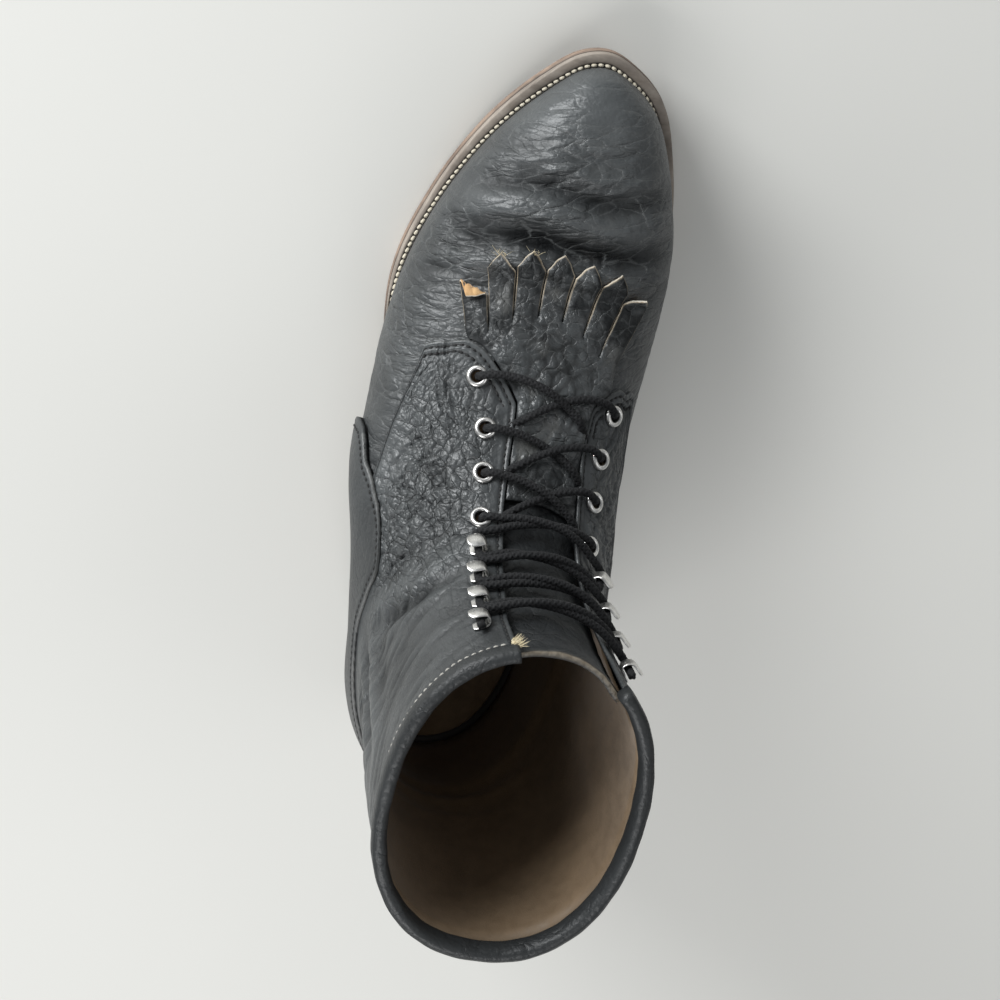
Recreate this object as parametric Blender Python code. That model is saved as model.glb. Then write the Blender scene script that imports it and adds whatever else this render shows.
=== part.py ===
"""Kiltie work boot, left: welted leather sole, stacked heel, hollow laced upper, fringed flap.

Sizes are in millimetres here and in metres in the scene. x runs from the heel's back to the toe, y to the
outer side, z up.
"""
import math

import bpy
import numpy as np
from mathutils import Vector
from mathutils.geometry import delaunay_2d_cdt

MM = 0.001
ORIGIN = (150.55, -0.25, 0.0)
OUTSOLE_THICK = 5.5
WELT_THICK = 3.2
WELT_POINTS = 90
WELT_INSET = 0.3
INSOLE_THICK = 5.0
INSOLE_CLEAR = 1.6
INSOLE_INSET = 0.5
LIFT_THICK = 6.0
HEEL_LENGTH = 86.0
HEEL_TAPER = 2.0
HEEL_INSET = 0.4
GAP = 0.3
WALL = 2.4
STEP = 1.0
COUNTER_THICK = 1.3
KILTIE_THICK = 1.6
KILTIE_CLEAR = 0.55
TONGUE_THICK = 2.0
TONGUE_CLEAR = 1.0
TONGUE_TUCK = 0.055
TONGUE_FOOT = 0.395
TONGUE_TOP = 0.967
UPPER_TOP = 0.974
THROAT_BOTTOM = 0.44
EYELET_OUT = 4.3
EYELET_HOLE = 2.4
EYELET_HIGH = 1.3
EYELET_SIDES = 12
SEAT_CLEAR = 0.6
LACE_RADIUS = 1.45
LEATHER = ("black_leather", (0.016, 0.016, 0.018), 0.5, 0.0)
SOLE_LEATHER = ("sole_leather", (0.23, 0.15, 0.11), 0.6, 0.0)
WELT_LEATHER = ("welt_leather", (0.10, 0.07, 0.055), 0.6, 0.0)
HEEL_LEATHER = ("heel_leather", (0.03, 0.024, 0.02), 0.5, 0.0)
RUBBER = ("heel_rubber", (0.02, 0.02, 0.02), 0.8, 0.0)
LINING = ("lining_leather", (0.48, 0.33, 0.17), 0.7, 0.0)
STEEL = ("nickel", (0.72, 0.72, 0.72), 0.25, 1.0)
CORD = ("lace_cord", (0.012, 0.012, 0.013), 0.85, 0.0)


def rows(names, *values):
    """A short table: one array for each named column."""
    return {n: np.array(c, float) for n, c in zip(names.split(), zip(*values))}


SOLE_OUTLINE = rows(
    "along across",
    (0, 0), (9, 22), (36, 36), (115, 41), (192, 54.3), (229, 47.5), (264, 33.5), (288, 17.3), (299, 6),
    (302, -5), (297.5, -17.5), (288, -30), (270, -40), (225, -51.5), (132, -34), (36, -34.5), (9, -21))
UPPER_OUTLINE = rows(
    "along across",
    (2, 0), (10, 22.5), (36, 40), (78, 51.5), (125, 56), (192, 54), (229, 45.5), (264, 30), (286, 13.5),
    (294.5, 4.5), (297, -5), (293, -15.5), (284.5, -26.5), (268, -36.5), (224, -49.5), (130, -44),
    (36, -36.5), (10, -21))
SOLE_PROFILE = rows(
    "along bottom",
    (0, 29.5), (50, 28.8), (70, 27.8), (88, 25.5), (104, 21.6), (126, 14.6), (160, 4.2), (186, 0), (226, 0),
    (262, 3.6), (302, 12))
FEATHER = rows("along inset", (0, 2.5), (60, 2.5), (130, 2.5), (195, 4), (260, 6), (302, 7))
LEVELS = rows(
    "rise front_x front_z back_x back_z half_lat half_med leg lean",
    (0.0, 295.0, 20.0, 2.5, 38.6, 43, 43, 0.00, 0.0),
    (0.4, 297.0, 26.0, 2.0, 45.0, 43, 43, 0.00, 0.0),
    (1.0, 295.5, 33.0, 1.8, 52.0, 43, 43, 0.00, 0.0),
    (2.0, 286.0, 43.5, 2.0, 61.0, 43, 43, 0.00, 0.0),
    (3.0, 266.0, 51.0, 3.5, 69.0, 43, 43, 0.00, -0.5),
    (4.0, 240.0, 56.5, 5.5, 77.0, 43, 43, 0.05, -1.0),
    (5.0, 211.0, 63.0, 7.5, 85.0, 43, 43, 0.20, -1.5),
    (6.0, 183.0, 74.0, 9.5, 94.0, 43, 43, 0.50, -2.5),
    (7.0, 157.0, 90.0, 10.5, 104.0, 43, 43, 0.80, -3.5),
    (8.0, 138.0, 109.0, 10.5, 116.0, 43, 43, 1.00, -4.5),
    (9.0, 129.0, 132.0, 9.5, 134.0, 44, 44, 1.00, -6.0),
    (10.0, 126.0, 158.0, 7.0, 160.0, 45.5, 45.5, 1.00, -8.5),
    (11.0, 126.0, 186.0, 4.0, 191.0, 46.5, 46.5, 1.00, -11.0))
RIDGE_LINE = rows("along across", (0, 0), (110, -4), (200, -4.5), (255, -4.8), (297, -5))
SECTION = rows(
    "along belly power",
    (0, 0.32, 2.6), (60, 0.30, 2.6), (120, 0.36, 2.4), (195, 0.30, 2.35), (260, 0.25, 2.5), (297, 0.25, 2.5))
LEG_POWER = 2.25
FLAT_FADE = 4.0
SHAFT_FRONT = 131.0
SHAFT_RISE = 4.0
BACK_ZONE = 0.4
TOE_ZONE = 0.2


def smooth(xs, ys, x):
    """Monotone cubic through the rows of a table."""
    x = np.asarray(x, float)
    gap = np.diff(xs)
    slope = np.diff(ys) / gap
    one, two = 2 * gap[1:] + gap[:-1], gap[1:] + 2 * gap[:-1]
    rising = slope[:-1] * slope[1:] > 0
    safe = np.where(rising, slope[:-1], 1.0), np.where(rising, slope[1:], 1.0)
    inner = np.where(rising, (one + two) / (one / safe[0] + two / safe[1]), 0.0)
    tangent = np.concatenate([slope[:1], inner, slope[-1:]])
    i = np.clip(np.searchsorted(xs, x) - 1, 0, len(xs) - 2)
    u = np.clip((x - xs[i]) / gap[i], 0, 1)
    return (ys[i] * (1 + 2 * u) * (1 - u) ** 2 + ys[i + 1] * u * u * (3 - 2 * u)
            + gap[i] * (tangent[i] * u * (1 - u) ** 2 - tangent[i + 1] * u * u * (1 - u)))


def closed_curve(table, per_span=60):
    """Smooth closed outline through the rows of an outline table."""
    p = np.stack([table["along"], table["across"]], 1)
    ahead, behind = np.roll(p, -1, 0), np.roll(p, 1, 0)
    chord = np.sqrt(np.linalg.norm(ahead - p, axis=1))[:, None]
    before = np.roll(chord, 1, 0)
    tangent = ((ahead - p) / chord * before + (p - behind) / before * chord) / (chord + before)
    u = np.linspace(0, 1, per_span, endpoint=False)[None, :, None]
    p, ahead, chord, tangent = (a[:, None] for a in (p, ahead, chord, tangent))
    after = np.roll(tangent, -1, 0)
    curve = (p * (1 + 2 * u) * (1 - u) ** 2 + ahead * u * u * (3 - 2 * u)
             + chord * (tangent * u * (1 - u) ** 2 - after * u * u * (1 - u)))
    return curve.reshape(-1, 2)


def inset_loop(loop, inset):
    """The outline moved inward by a distance for each point (the outline runs clockwise from above)."""
    way = np.roll(loop, -1, 0) - np.roll(loop, 1, 0)
    way /= np.linalg.norm(way, axis=1, keepdims=True)
    return loop + np.stack([way[:, 1], -way[:, 0]], 1) * np.reshape(inset, (-1, 1))


def split_sides(loop):
    """Outer and inner side of an outline, each from heel to toe."""
    loop = np.roll(loop, -np.argmin(loop[:, 0]), 0)
    toe = np.argmax(loop[:, 0])
    return loop[:toe + 1], np.concatenate([loop[toe:], loop[:1]])[::-1]


SOLE_LOOP = closed_curve(SOLE_OUTLINE)
FEATHER_LOOP = inset_loop(SOLE_LOOP, smooth(FEATHER["along"], FEATHER["inset"], SOLE_LOOP[:, 0]))
PLANS = {"upper": split_sides(closed_curve(UPPER_OUTLINE)), "feather": split_sides(FEATHER_LOOP)}


def sole_bottom(x):
    return smooth(SOLE_PROFILE["along"], SOLE_PROFILE["bottom"], x)


def feather_z(x):
    return sole_bottom(x) + OUTSOLE_THICK + WELT_THICK + 2 * GAP


def level(name, rise):
    return smooth(LEVELS["rise"], LEVELS[name], rise)


def settle(rise, x):
    """Drop of the low rings onto the curve of the sole."""
    first = {n: LEVELS[n][0] for n in ("front_x", "front_z", "back_x", "back_z")}
    base = first["back_z"] + (first["front_z"] - first["back_z"]) * (x - first["back_x"]) / (
        first["front_x"] - first["back_x"])
    return (feather_z(x) - base) * np.clip(1 - rise / FLAT_FADE, 0, 1) ** 2


RISE = np.linspace(0, LEVELS["rise"][-1], 800)
RIDGE_X = level("front_x", RISE)
RIDGE = np.stack([RIDGE_X, level("front_z", RISE) + settle(RISE, RIDGE_X)], 1)
RIDGE_RUN = np.concatenate([[0], np.cumsum(np.linalg.norm(np.diff(RIDGE, axis=0), axis=1))])
CROWN = RIDGE[np.argmax(RIDGE[:, 0]):]
CROWN = CROWN[CROWN[:, 0] > SHAFT_FRONT][::-1]


def roof(x):
    """Height of the ridge over the foot; behind the shaft's front it goes on steeply."""
    return np.interp(x, CROWN[:, 0], CROWN[:, 1]) + np.clip(SHAFT_FRONT - x, 0, None) * SHAFT_RISE


def half_width(plan, side, x, a, back_x, front_x, low):
    """Half width of a plan at x; the plan's ends are drawn to the ends of the ring."""
    edge = PLANS[plan][0 if side > 0 else 1]
    x = (x + (edge[0, 0] - back_x) * np.clip(1 - a / BACK_ZONE, 0, 1) ** 2
         + (edge[-1, 0] - front_x) * low * np.clip(1 - (1 - a) / TOE_ZONE, 0, 1) ** 2)
    centre = smooth(RIDGE_LINE["along"], RIDGE_LINE["across"], x)
    return np.maximum(side * (np.interp(x, edge[:, 0], edge[:, 1]) - centre), 0)


def half_ring(rise, side, a):
    """One side of the ring at a level, a from 0 at the back to 1 at the ridge."""
    front_x, front_z = level("front_x", rise), level("front_z", rise)
    back_x, back_z = level("back_x", rise), level("back_z", rise)
    x = back_x + (front_x - back_x) * a
    floor = feather_z(x)
    z = back_z + (front_z - back_z) * a + settle(rise, x)
    low = np.clip(1 - rise, 0, 1)
    wide = half_width("upper", side, x, a, back_x, front_x, low)
    narrow = half_width("feather", side, x, a, back_x, front_x, low)
    v = np.clip((z - floor) / np.maximum(roof(x) - floor, 1e-6), 0, 1)
    belly, power = (smooth(SECTION["along"], SECTION[n], x) for n in ("belly", "power"))
    under = np.clip(1 - v / belly, 0, 1) ** 2
    over = np.clip((v - belly) / (1 - belly), 0, 1)
    foot = np.where(v < belly, wide + (narrow - wide) * under, wide * (1 - over ** power) ** (1 / power))
    leg = level("half_lat" if side > 0 else "half_med", rise) * np.clip(
        1 - np.abs(2 * a - 1) ** LEG_POWER, 0, 1) ** (1 / LEG_POWER)
    share = level("leg", rise)
    centre = smooth(RIDGE_LINE["along"], RIDGE_LINE["across"], x) * (1 - share) + level("lean", rise)
    y = centre + side * ((1 - share) * foot + share * leg)
    return np.stack(np.broadcast_arrays(x, y, z), -1)


def form_grid(levels=181, across=121, fine=400):
    """The outside of the upper: rings by the ridge's own length t, each ring by its own length s."""
    t = np.linspace(0, 1, levels)
    rise = np.interp(t * RIDGE_RUN[-1], RIDGE_RUN, RISE)[:, None]
    a = 0.5 + 0.5 * np.cos(np.linspace(0, np.pi, fine))[None, :]
    want = np.linspace(0, 1, across)
    halves = []
    for side in (-1, 1):
        p = half_ring(rise, side, a)
        steps = np.linalg.norm(np.diff(p, axis=1), axis=2)
        run = np.concatenate([np.zeros((levels, 1)), np.cumsum(steps, 1)], 1)
        run /= run[:, -1:]
        even = [[np.interp(want, run[i], p[i, :, k]) for i in range(levels)] for k in range(3)]
        halves.append(np.stack(even, -1))
    grid = np.concatenate([halves[0][:, :0:-1], halves[1]], 1)
    s = np.linspace(-1, 1, grid.shape[1])
    way_s, way_t = np.gradient(grid, s, axis=1), np.gradient(grid, t, axis=0)
    way_s[:, 0] = way_s[:, -1] = way_s[:, 0] + way_s[:, -1]
    normal = np.cross(way_s, way_t)
    return grid, normal / np.linalg.norm(normal, axis=2, keepdims=True)


GRID, NORMAL = form_grid()


def look_up(field, s, t):
    s, t = np.broadcast_arrays(np.asarray(s, float), np.asarray(t, float))
    column = np.clip((s + 1) / 2, 0, 1) * (field.shape[1] - 1)
    row = np.clip(t, 0, 1) * (field.shape[0] - 1)
    i = np.minimum(column.astype(int), field.shape[1] - 2)
    j = np.minimum(row.astype(int), field.shape[0] - 2)
    u, v = (column - i)[..., None], (row - j)[..., None]
    return (field[j, i] * (1 - u) * (1 - v) + field[j, i + 1] * u * (1 - v)
            + field[j + 1, i] * (1 - u) * v + field[j + 1, i + 1] * u * v)


def on_upper(s, t, lift=0.0):
    """Point of the upper's outside, lifted off it along the normal."""
    n = look_up(NORMAL, s, t)
    n = n / np.linalg.norm(n, axis=-1, keepdims=True)
    return look_up(GRID, s, t) + n * np.asarray(lift, float)[..., None]


# Lines of the upper in the form's own coordinates s and t

LACING = rows(
    "t centre gap eyelet",
    (0.455, -0.018, 0.070, 0.145), (0.545, -0.024, 0.071, 0.124), (0.612, -0.030, 0.078, 0.127),
    (0.680, -0.036, 0.086, 0.133), (0.735, -0.042, 0.094, 0.147), (0.790, -0.045, 0.103, 0.157),
    (0.845, -0.047, 0.113, 0.168), (0.900, -0.048, 0.125, 0.180))
LACING_SKEW = 0.010
EYELET_ROWS = 4
QUARTER_EDGE = rows(
    "outer inner t",
    (0.049, -0.095, 0.525), (0.073, -0.098, 0.490), (0.096, -0.119, 0.458), (0.144, -0.163, 0.397),
    (0.219, -0.232, 0.321), (0.262, -0.268, 0.253), (0.280, -0.284, 0.246), (0.317, -0.317, 0.322),
    (0.367, -0.367, 0.381), (0.412, -0.412, 0.420), (0.472, -0.472, 0.200), (0.502, -0.502, 0.117),
    (0.570, -0.570, 0.000))
COUNTER_EDGE = rows(
    "outer inner t",
    (0.560, -0.560, 0.000), (0.524, -0.524, 0.050), (0.488, -0.488, 0.117), (0.458, -0.458, 0.200),
    (0.425, -0.425, 0.330), (0.390, -0.390, 0.450),
    (0.382, -0.382, 0.540), (0.410, -0.410, 0.592), (0.480, -0.480, 0.575), (0.600, -0.600, 0.520),
    (0.780, -0.780, 0.470), (1.000, -1.000, 0.450))
RING_ROWS = (0, 0.022, 0.045, 0.072, 0.104, 0.14, 0.18, 0.22, 0.262, 0.304, 0.346, 0.39, 0.44, 0.49,
             0.54, 0.59, 0.64, 0.69, 0.74, 0.79, 0.84, 0.89, 0.935, UPPER_TOP)
COUNTER_FOOT = RING_ROWS[1]
RING_SPACING = 14.2
RIM_SPACING = 10.0
LINE_SPACING = 9.6
CLEAR_OF_LINES = 5.0
CLEAR_ON_RIM = 2.5
SEAM_CLEAR = 0.012
STEP_RUN = 0.9
FLAT = np.array([230.0, RIDGE_RUN[-1]])


def lacing(name, t):
    return smooth(LACING["t"], LACING[name], np.clip(t, LACING["t"][0], LACING["t"][-1]))


def facing_edge(side, t):
    return lacing("centre", t) + side * lacing("gap", t)


def seat_place(row, side):
    """(s, t) of an eyelet or hook; the outer side's stand a little higher up the boot."""
    return (LACING["centre"][row] + side * LACING["eyelet"][row],
            LACING["t"][row] + side * LACING_SKEW)


def spaced(points, spacing=LINE_SPACING):
    """A line in (s, t) with points about evenly spaced on the flat pattern."""
    points = np.array(points, float)
    out = [points[:1]]
    for a, b in zip(points[:-1], points[1:]):
        n = max(1, int(round(np.linalg.norm((b - a) * FLAT) / spacing)))
        out.append(a + (b - a) * np.linspace(0, 1, n + 1)[1:, None])
    return np.concatenate(out)


def table_line(table, side):
    return np.stack([table["outer" if side > 0 else "inner"], table["t"]], 1)


def distance(points, line):
    """Distance on the flat pattern from points to a line, positive on the line's left."""
    p, a, b = points[:, None] * FLAT, line[None, :-1] * FLAT, line[None, 1:] * FLAT
    u = np.clip(((p - a) * (b - a)).sum(-1) / ((b - a) ** 2).sum(-1), 0, 1)[..., None]
    off = p - (a + (b - a) * u)
    length = np.linalg.norm(off, axis=-1)
    pick = length.argmin(1)
    rank = np.arange(len(points))
    way = (b - a)[0, pick]
    turn = way[:, 0] * off[rank, pick, 1] - way[:, 1] * off[rank, pick, 0]
    return np.where(turn >= 0, 1, -1) * length[rank, pick]


def inside(points, loop):
    """Even-odd test of points against a closed loop."""
    x, y = points[:, 0][:, None], points[:, 1][:, None]
    ax, ay = loop[:, 0][None], loop[:, 1][None]
    bx, by = np.roll(loop, -1, 0).T[:, None]
    level_cross = (ay > y) != (by > y)
    rise = np.where(by == ay, 1.0, by - ay)
    return ((level_cross & (x < ax + (bx - ax) * (y - ay) / rise)).sum(1) % 2) == 1


def quarter_loop(side):
    """The quarter: everything behind its front edge, to the back seam."""
    t = np.linspace(QUARTER_EDGE["t"][0], 1.0, 12)
    throat = np.stack([facing_edge(side, t), t], 1)
    return np.concatenate([table_line(QUARTER_EDGE, side)[::-1], throat, [[side, 1.0], [side, 0.0]]])


def quarter_lift(points):
    """Height of the quarters over the vamp, with a short slope at their edge."""
    lift = np.zeros(len(points))
    for side in (1, -1):
        edge = table_line(QUARTER_EDGE, side)
        within = inside(points, quarter_loop(side)) | (np.abs(distance(points, edge)) < 1e-6)
        within |= side * points[:, 0] > 1 - 1e-6
        lift = np.where(within, np.clip(np.abs(distance(points, edge)) / STEP_RUN, 0, 1) * STEP, lift)
    return lift * np.clip(points[:, 1] / COUNTER_FOOT, 0, 1)


def local_move(s, t, across, up):
    """(s, t) of a point some millimetres across (to greater s) and up from a place on the upper."""
    d = 1e-3
    way_s = (on_upper(s + d, t) - on_upper(s - d, t)) / (2 * d)
    way_t = (on_upper(s, t + d) - on_upper(s, t - d)) / (2 * d)
    size_s = np.linalg.norm(way_s)
    skew = way_t @ way_s / size_s
    rise = np.linalg.norm(way_t - skew * way_s / size_s)
    return np.stack([s + (across - up / rise * skew) / size_s, t + up / rise], -1)


SHOE_MIDDLE = -4.0
ROUND_TOP = 180.0


def from_plan(x, y):
    """(s, t) of the point of the upper's top that lies over (x, y)."""
    x, y = np.asarray(x, float), np.asarray(y, float)
    s = (y - SHOE_MIDDLE) / ROUND_TOP
    t = np.interp(-x, -CROWN[::-1, 0], np.interp(CROWN[::-1, 1], RIDGE[:, 1], RIDGE_RUN) / RIDGE_RUN[-1])
    d = 2e-3
    for _ in range(40):
        here = on_upper(s, t)
        way_s = (on_upper(s + d, t) - on_upper(s - d, t)) / (2 * d)
        way_t = (on_upper(s, t + d) - on_upper(s, t - d)) / (2 * d)
        det = way_s[..., 0] * way_t[..., 1] - way_s[..., 1] * way_t[..., 0]
        ex, ey = x - here[..., 0], y - here[..., 1]
        s = s + 0.5 * np.clip((ex * way_t[..., 1] - ey * way_t[..., 0]) / det, -0.1, 0.1)
        t = t + 0.5 * np.clip((ey * way_s[..., 0] - ex * way_s[..., 1]) / det, -0.1, 0.1)
    return np.stack([s, t], -1)


# Mesh building

PARTS = []


def add(name, verts, faces, material, smooth_shade=True):
    PARTS.append((name, np.asarray(verts, float), faces, material, smooth_shade))


def triangulate(points, lines):
    """Triangles through all points with the lines kept as edges; counter-clockwise."""
    points = [np.asarray(points)] if len(points) else []
    edges, at = [], sum(len(p) for p in points)
    for line in lines:
        points.append(line)
        edges += [(at + i, at + i + 1) for i in range(len(line) - 1)]
        at += len(line)
    verts = [Vector(p) for p in np.concatenate(points) * FLAT]
    out = delaunay_2d_cdt(verts, edges, [], 0, 1e-4, False)
    flat = np.array([tuple(v) for v in out[0]])
    tris = np.array([tuple(f) for f in out[2]])
    a, b, c = (flat[tris[:, k]] for k in range(3))
    turn = (b[:, 0] - a[:, 0]) * (c[:, 1] - a[:, 1]) - (b[:, 1] - a[:, 1]) * (c[:, 0] - a[:, 0])
    tris = np.where((turn > 0)[:, None], tris, tris[:, ::-1])
    return flat / FLAT, tris[np.abs(turn) > 1e-6]


def shell(points, tris, low, high):
    """Closed solid between two lifts of one patch of the form."""
    used, tris = np.unique(tris, return_inverse=True)
    tris = tris.reshape(-1, 3)
    s, t = points[used].T
    n = len(used)
    verts = np.concatenate([on_upper(s, t, high[used]), on_upper(s, t, low[used])])
    sides = {(int(f[i]), int(f[(i + 1) % 3])) for f in tris for i in range(3)}
    border = [e for e in sides if e[::-1] not in sides]
    faces = [tuple(map(int, f)) for f in tris]
    faces += [tuple(int(i) + n for i in f[::-1]) for f in tris]
    faces += [(b, a, a + n, b + n) for a, b in sorted(border)]
    return verts, faces


def slab(top, bottom):
    """Solid from stations across: top and bottom each give x, outer y, inner y and z."""
    n = len(top[0])
    rings = []
    for x, outer, inner, z in (top, bottom):
        rings.append(np.stack([x, outer, z], 1))
        rings.append(np.stack([x, inner, z], 1))
    verts = np.concatenate(rings)
    tl, tm, bl, bm = (k * n for k in range(4))
    faces = []
    for i in range(n - 1):
        faces += [(tl + i, tm + i, tm + i + 1, tl + i + 1), (bm + i, bl + i, bl + i + 1, bm + i + 1),
                  (bl + i, tl + i, tl + i + 1, bl + i + 1), (tm + i, bm + i, bm + i + 1, tm + i + 1)]
    e = n - 1
    faces += [(tl, bl, bm, tm), (tl + e, tm + e, bm + e, bl + e)]
    return verts, faces


def tube(path, radius, sides=6, normal=(0, 0, 1)):
    """Closed round bar along a path."""
    path = np.asarray(path, float)
    way = np.gradient(path, axis=0)
    way /= np.linalg.norm(way, axis=1, keepdims=True)
    side = np.cross(way, np.broadcast_to(normal, way.shape))
    side /= np.linalg.norm(side, axis=1, keepdims=True)
    up = np.cross(side, way)
    turn = np.linspace(0, 2 * np.pi, sides, endpoint=False)[None, :, None]
    verts = path[:, None] + radius * (np.cos(turn) * side[:, None] + np.sin(turn) * up[:, None])
    n = len(path)
    faces = [tuple(range(sides))[::-1], tuple((n - 1) * sides + k for k in range(sides))]
    for i in range(n - 1):
        for k in range(sides):
            j = (k + 1) % sides
            faces.append((i * sides + k, i * sides + j, (i + 1) * sides + j, (i + 1) * sides + k))
    return verts.reshape(-1, 3), faces


# Sole, welt, heel and insole

SOLE_STATIONS = 52
INSOLE_STATIONS = 34
HEEL_STATIONS = 18


def stations(low, high, count, both=True):
    a = np.linspace(0, np.pi if both else np.pi / 2, count)
    u = (1 - np.cos(a)) / (2 if both else 1)
    return low + (high - low) * np.clip(u, 4e-4, 1 - 4e-4 if both else 1)


def edges_at(loop, x):
    outer, inner = split_sides(loop)
    return np.interp(x, outer[:, 0], outer[:, 1]), np.interp(x, inner[:, 0], inner[:, 1])


def build_sole():
    x = stations(SOLE_LOOP[:, 0].min(), SOLE_LOOP[:, 0].max(), SOLE_STATIONS)
    outer, inner = edges_at(SOLE_LOOP, x)
    low = sole_bottom(x)
    add("outsole", *slab((x, outer, inner, low + OUTSOLE_THICK), (x, outer, inner, low)), SOLE_LEATHER)

    inset = smooth(FEATHER["along"], FEATHER["inset"], SOLE_LOOP[:, 0])
    wall_loop = inset_loop(SOLE_LOOP, inset + WALL + INSOLE_CLEAR)
    run = np.cumsum(np.linalg.norm(np.roll(SOLE_LOOP, -1, 0) - SOLE_LOOP, axis=1))
    pick = np.searchsorted(run, np.linspace(0, run[-1], WELT_POINTS, endpoint=False))
    out, inn = inset_loop(SOLE_LOOP, np.full(len(SOLE_LOOP), WELT_INSET))[pick], wall_loop[pick]
    rings = []
    for loop, lift in ((out, WELT_THICK), (inn, WELT_THICK), (inn, 0.0), (out, 0.0)):
        rings.append(np.column_stack([loop, sole_bottom(loop[:, 0]) + OUTSOLE_THICK + GAP + lift]))
    n = len(pick)
    faces = []
    for k in range(4):
        m = (k + 1) % 4
        faces += [(m * n + i, m * n + (i + 1) % n, k * n + (i + 1) % n, k * n + i) for i in range(n)]
    add("welt", np.concatenate(rings), faces, WELT_LEATHER)

    board = inset_loop(wall_loop, np.full(len(wall_loop), INSOLE_INSET))
    x = stations(board[:, 0].min(), board[:, 0].max(), INSOLE_STATIONS)
    outer, inner = edges_at(board, x)
    low = sole_bottom(x) + OUTSOLE_THICK + GAP
    add("insole", *slab((x, outer, inner, low + INSOLE_THICK), (x, outer, inner, low)), LINING)


def build_heel():
    for name, low, material in (("heel_stack", LIFT_THICK + GAP, HEEL_LEATHER), ("heel_lift", 0.0, RUBBER)):
        top = None if name == "heel_stack" else LIFT_THICK
        ends = []
        for z in (top, low):
            fall = 0.0 if z is None else 1 - z / SOLE_PROFILE["bottom"][0]
            inset = HEEL_INSET + HEEL_TAPER * fall
            loop = inset_loop(SOLE_LOOP, np.full(len(SOLE_LOOP), inset))
            x = stations(loop[:, 0].min(), HEEL_LENGTH - inset, HEEL_STATIONS, both=False)
            outer, inner = edges_at(loop, x)
            ends.append((x, outer, inner, sole_bottom(x) - GAP if z is None else np.full(len(x), z)))
        add(name, *slab(*ends), material)


# Upper, counter, collar, tongue and kiltie

def throat_lines():
    t = np.linspace(THROAT_BOTTOM, UPPER_TOP, 17)
    outer = np.stack([facing_edge(1, t), t], 1)
    inner = np.stack([facing_edge(-1, t), t], 1)
    return outer, inner


def hole_loop(row, side, radius=EYELET_HOLE + GAP, count=8):
    s, t = seat_place(row, side)
    turn = np.linspace(0, 2 * np.pi, count + 1)
    return np.stack([local_move(s, t, radius * math.cos(a), radius * math.sin(a)) for a in turn])


def ring_points():
    out = []
    for k, t in enumerate(RING_ROWS):
        ring = on_upper(np.linspace(-1, 1, 200), np.full(200, t))
        spacing = RING_SPACING if t > 0 else RIM_SPACING
        n = int(np.linalg.norm(np.diff(ring, axis=0), axis=1).sum() / spacing)
        shift = 0.5 if k % 2 and 0 < t < UPPER_TOP else 0.0
        s = -1 + 2 * (np.arange(n + (0 if shift else 1)) + shift) / n
        out.append(np.stack([s, np.full(len(s), t)], 1))
    return out


def build_upper():
    rings = ring_points()
    seam_t = np.array(RING_ROWS)
    counter_seam = COUNTER_EDGE["t"][-1]
    seam_t = np.sort(np.append(seam_t[np.abs(seam_t - counter_seam) > SEAM_CLEAR], counter_seam))
    outer, inner = throat_lines()
    lines = [outer, inner, spaced([outer[0], inner[0]])]
    for side in (1, -1):
        edge = spaced(table_line(QUARTER_EDGE, side))
        second = []
        for i, p in enumerate(edge):
            way = (edge[min(i + 1, len(edge) - 1)] - edge[max(i - 1, 0)]) * FLAT
            across = np.array([-way[1], way[0]]) / np.linalg.norm(way) * STEP_RUN * side
            second.append(p + across / FLAT)
        second = np.array(second)
        edge[0, 0] = facing_edge(side, edge[0, 1])
        second[0, 0] = facing_edge(side, second[0, 1])
        second[-1, 1] = 0.0
        foot = np.interp(COUNTER_FOOT, COUNTER_EDGE["t"][:2], COUNTER_EDGE["outer"][:2])
        lines += [edge, second, spaced(table_line(COUNTER_EDGE, side))]
        lines.append(spaced([[side * foot, COUNTER_FOOT], [side, COUNTER_FOOT]]))
    holes = [hole_loop(row, side) for row in range(EYELET_ROWS) for side in (1, -1)]
    fill = np.concatenate([r[1:-1] if abs(r[0, 0]) > 0.999 else r for r in rings])
    clear = np.min([np.abs(distance(fill, line)) for line in lines + holes], axis=0)
    on_rim = (fill[:, 1] < 1e-9) | (fill[:, 1] > UPPER_TOP - 1e-9)
    fill = fill[(clear > CLEAR_OF_LINES) | (on_rim & (clear > CLEAR_ON_RIM))]
    seam = [np.stack([np.full(len(seam_t), side), seam_t], 1) for side in (-1.0, 1.0)]
    points, tris = triangulate(fill, lines + holes + seam)

    middle = points[tris].mean(1)
    throat = np.concatenate([outer, inner[::-1]])
    keep = ~inside(middle, throat)
    for hole in holes:
        keep &= ~inside(middle, hole)
    tris = tris[keep]
    left = {round(t, 6): i for i, (s, t) in enumerate(points) if s < -1 + 1e-6}
    join = np.array([left.get(round(t, 6), i) if s > 1 - 1e-6 else i for i, (s, t) in enumerate(points)])
    middle = middle[keep]
    tris = join[tris]
    lift = quarter_lift(points)
    add("upper", *shell(points, tris, np.full(len(points), -WALL), lift), LEATHER)

    in_counter = np.zeros(len(tris), bool)
    for side in (1, -1):
        loop = np.concatenate([table_line(COUNTER_EDGE, side), [[side, 0.0]]])
        in_counter |= inside(middle, loop) & (middle[:, 1] > COUNTER_FOOT)
    add("counter", *shell(points, tris[in_counter], lift + GAP, lift + GAP + COUNTER_THICK), LEATHER)


BINDING_STATIONS = 40
BINDING = rows(
    "lift rise",
    (STEP + 0.7, 0), (STEP + 1.3, 0.5), (STEP + 0.5, 0.84), (-0.7, 1), (-WALL - 0.5, 0.84),
    (-WALL - 1.1, 0.5), (-WALL - 0.5, 0))


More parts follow.
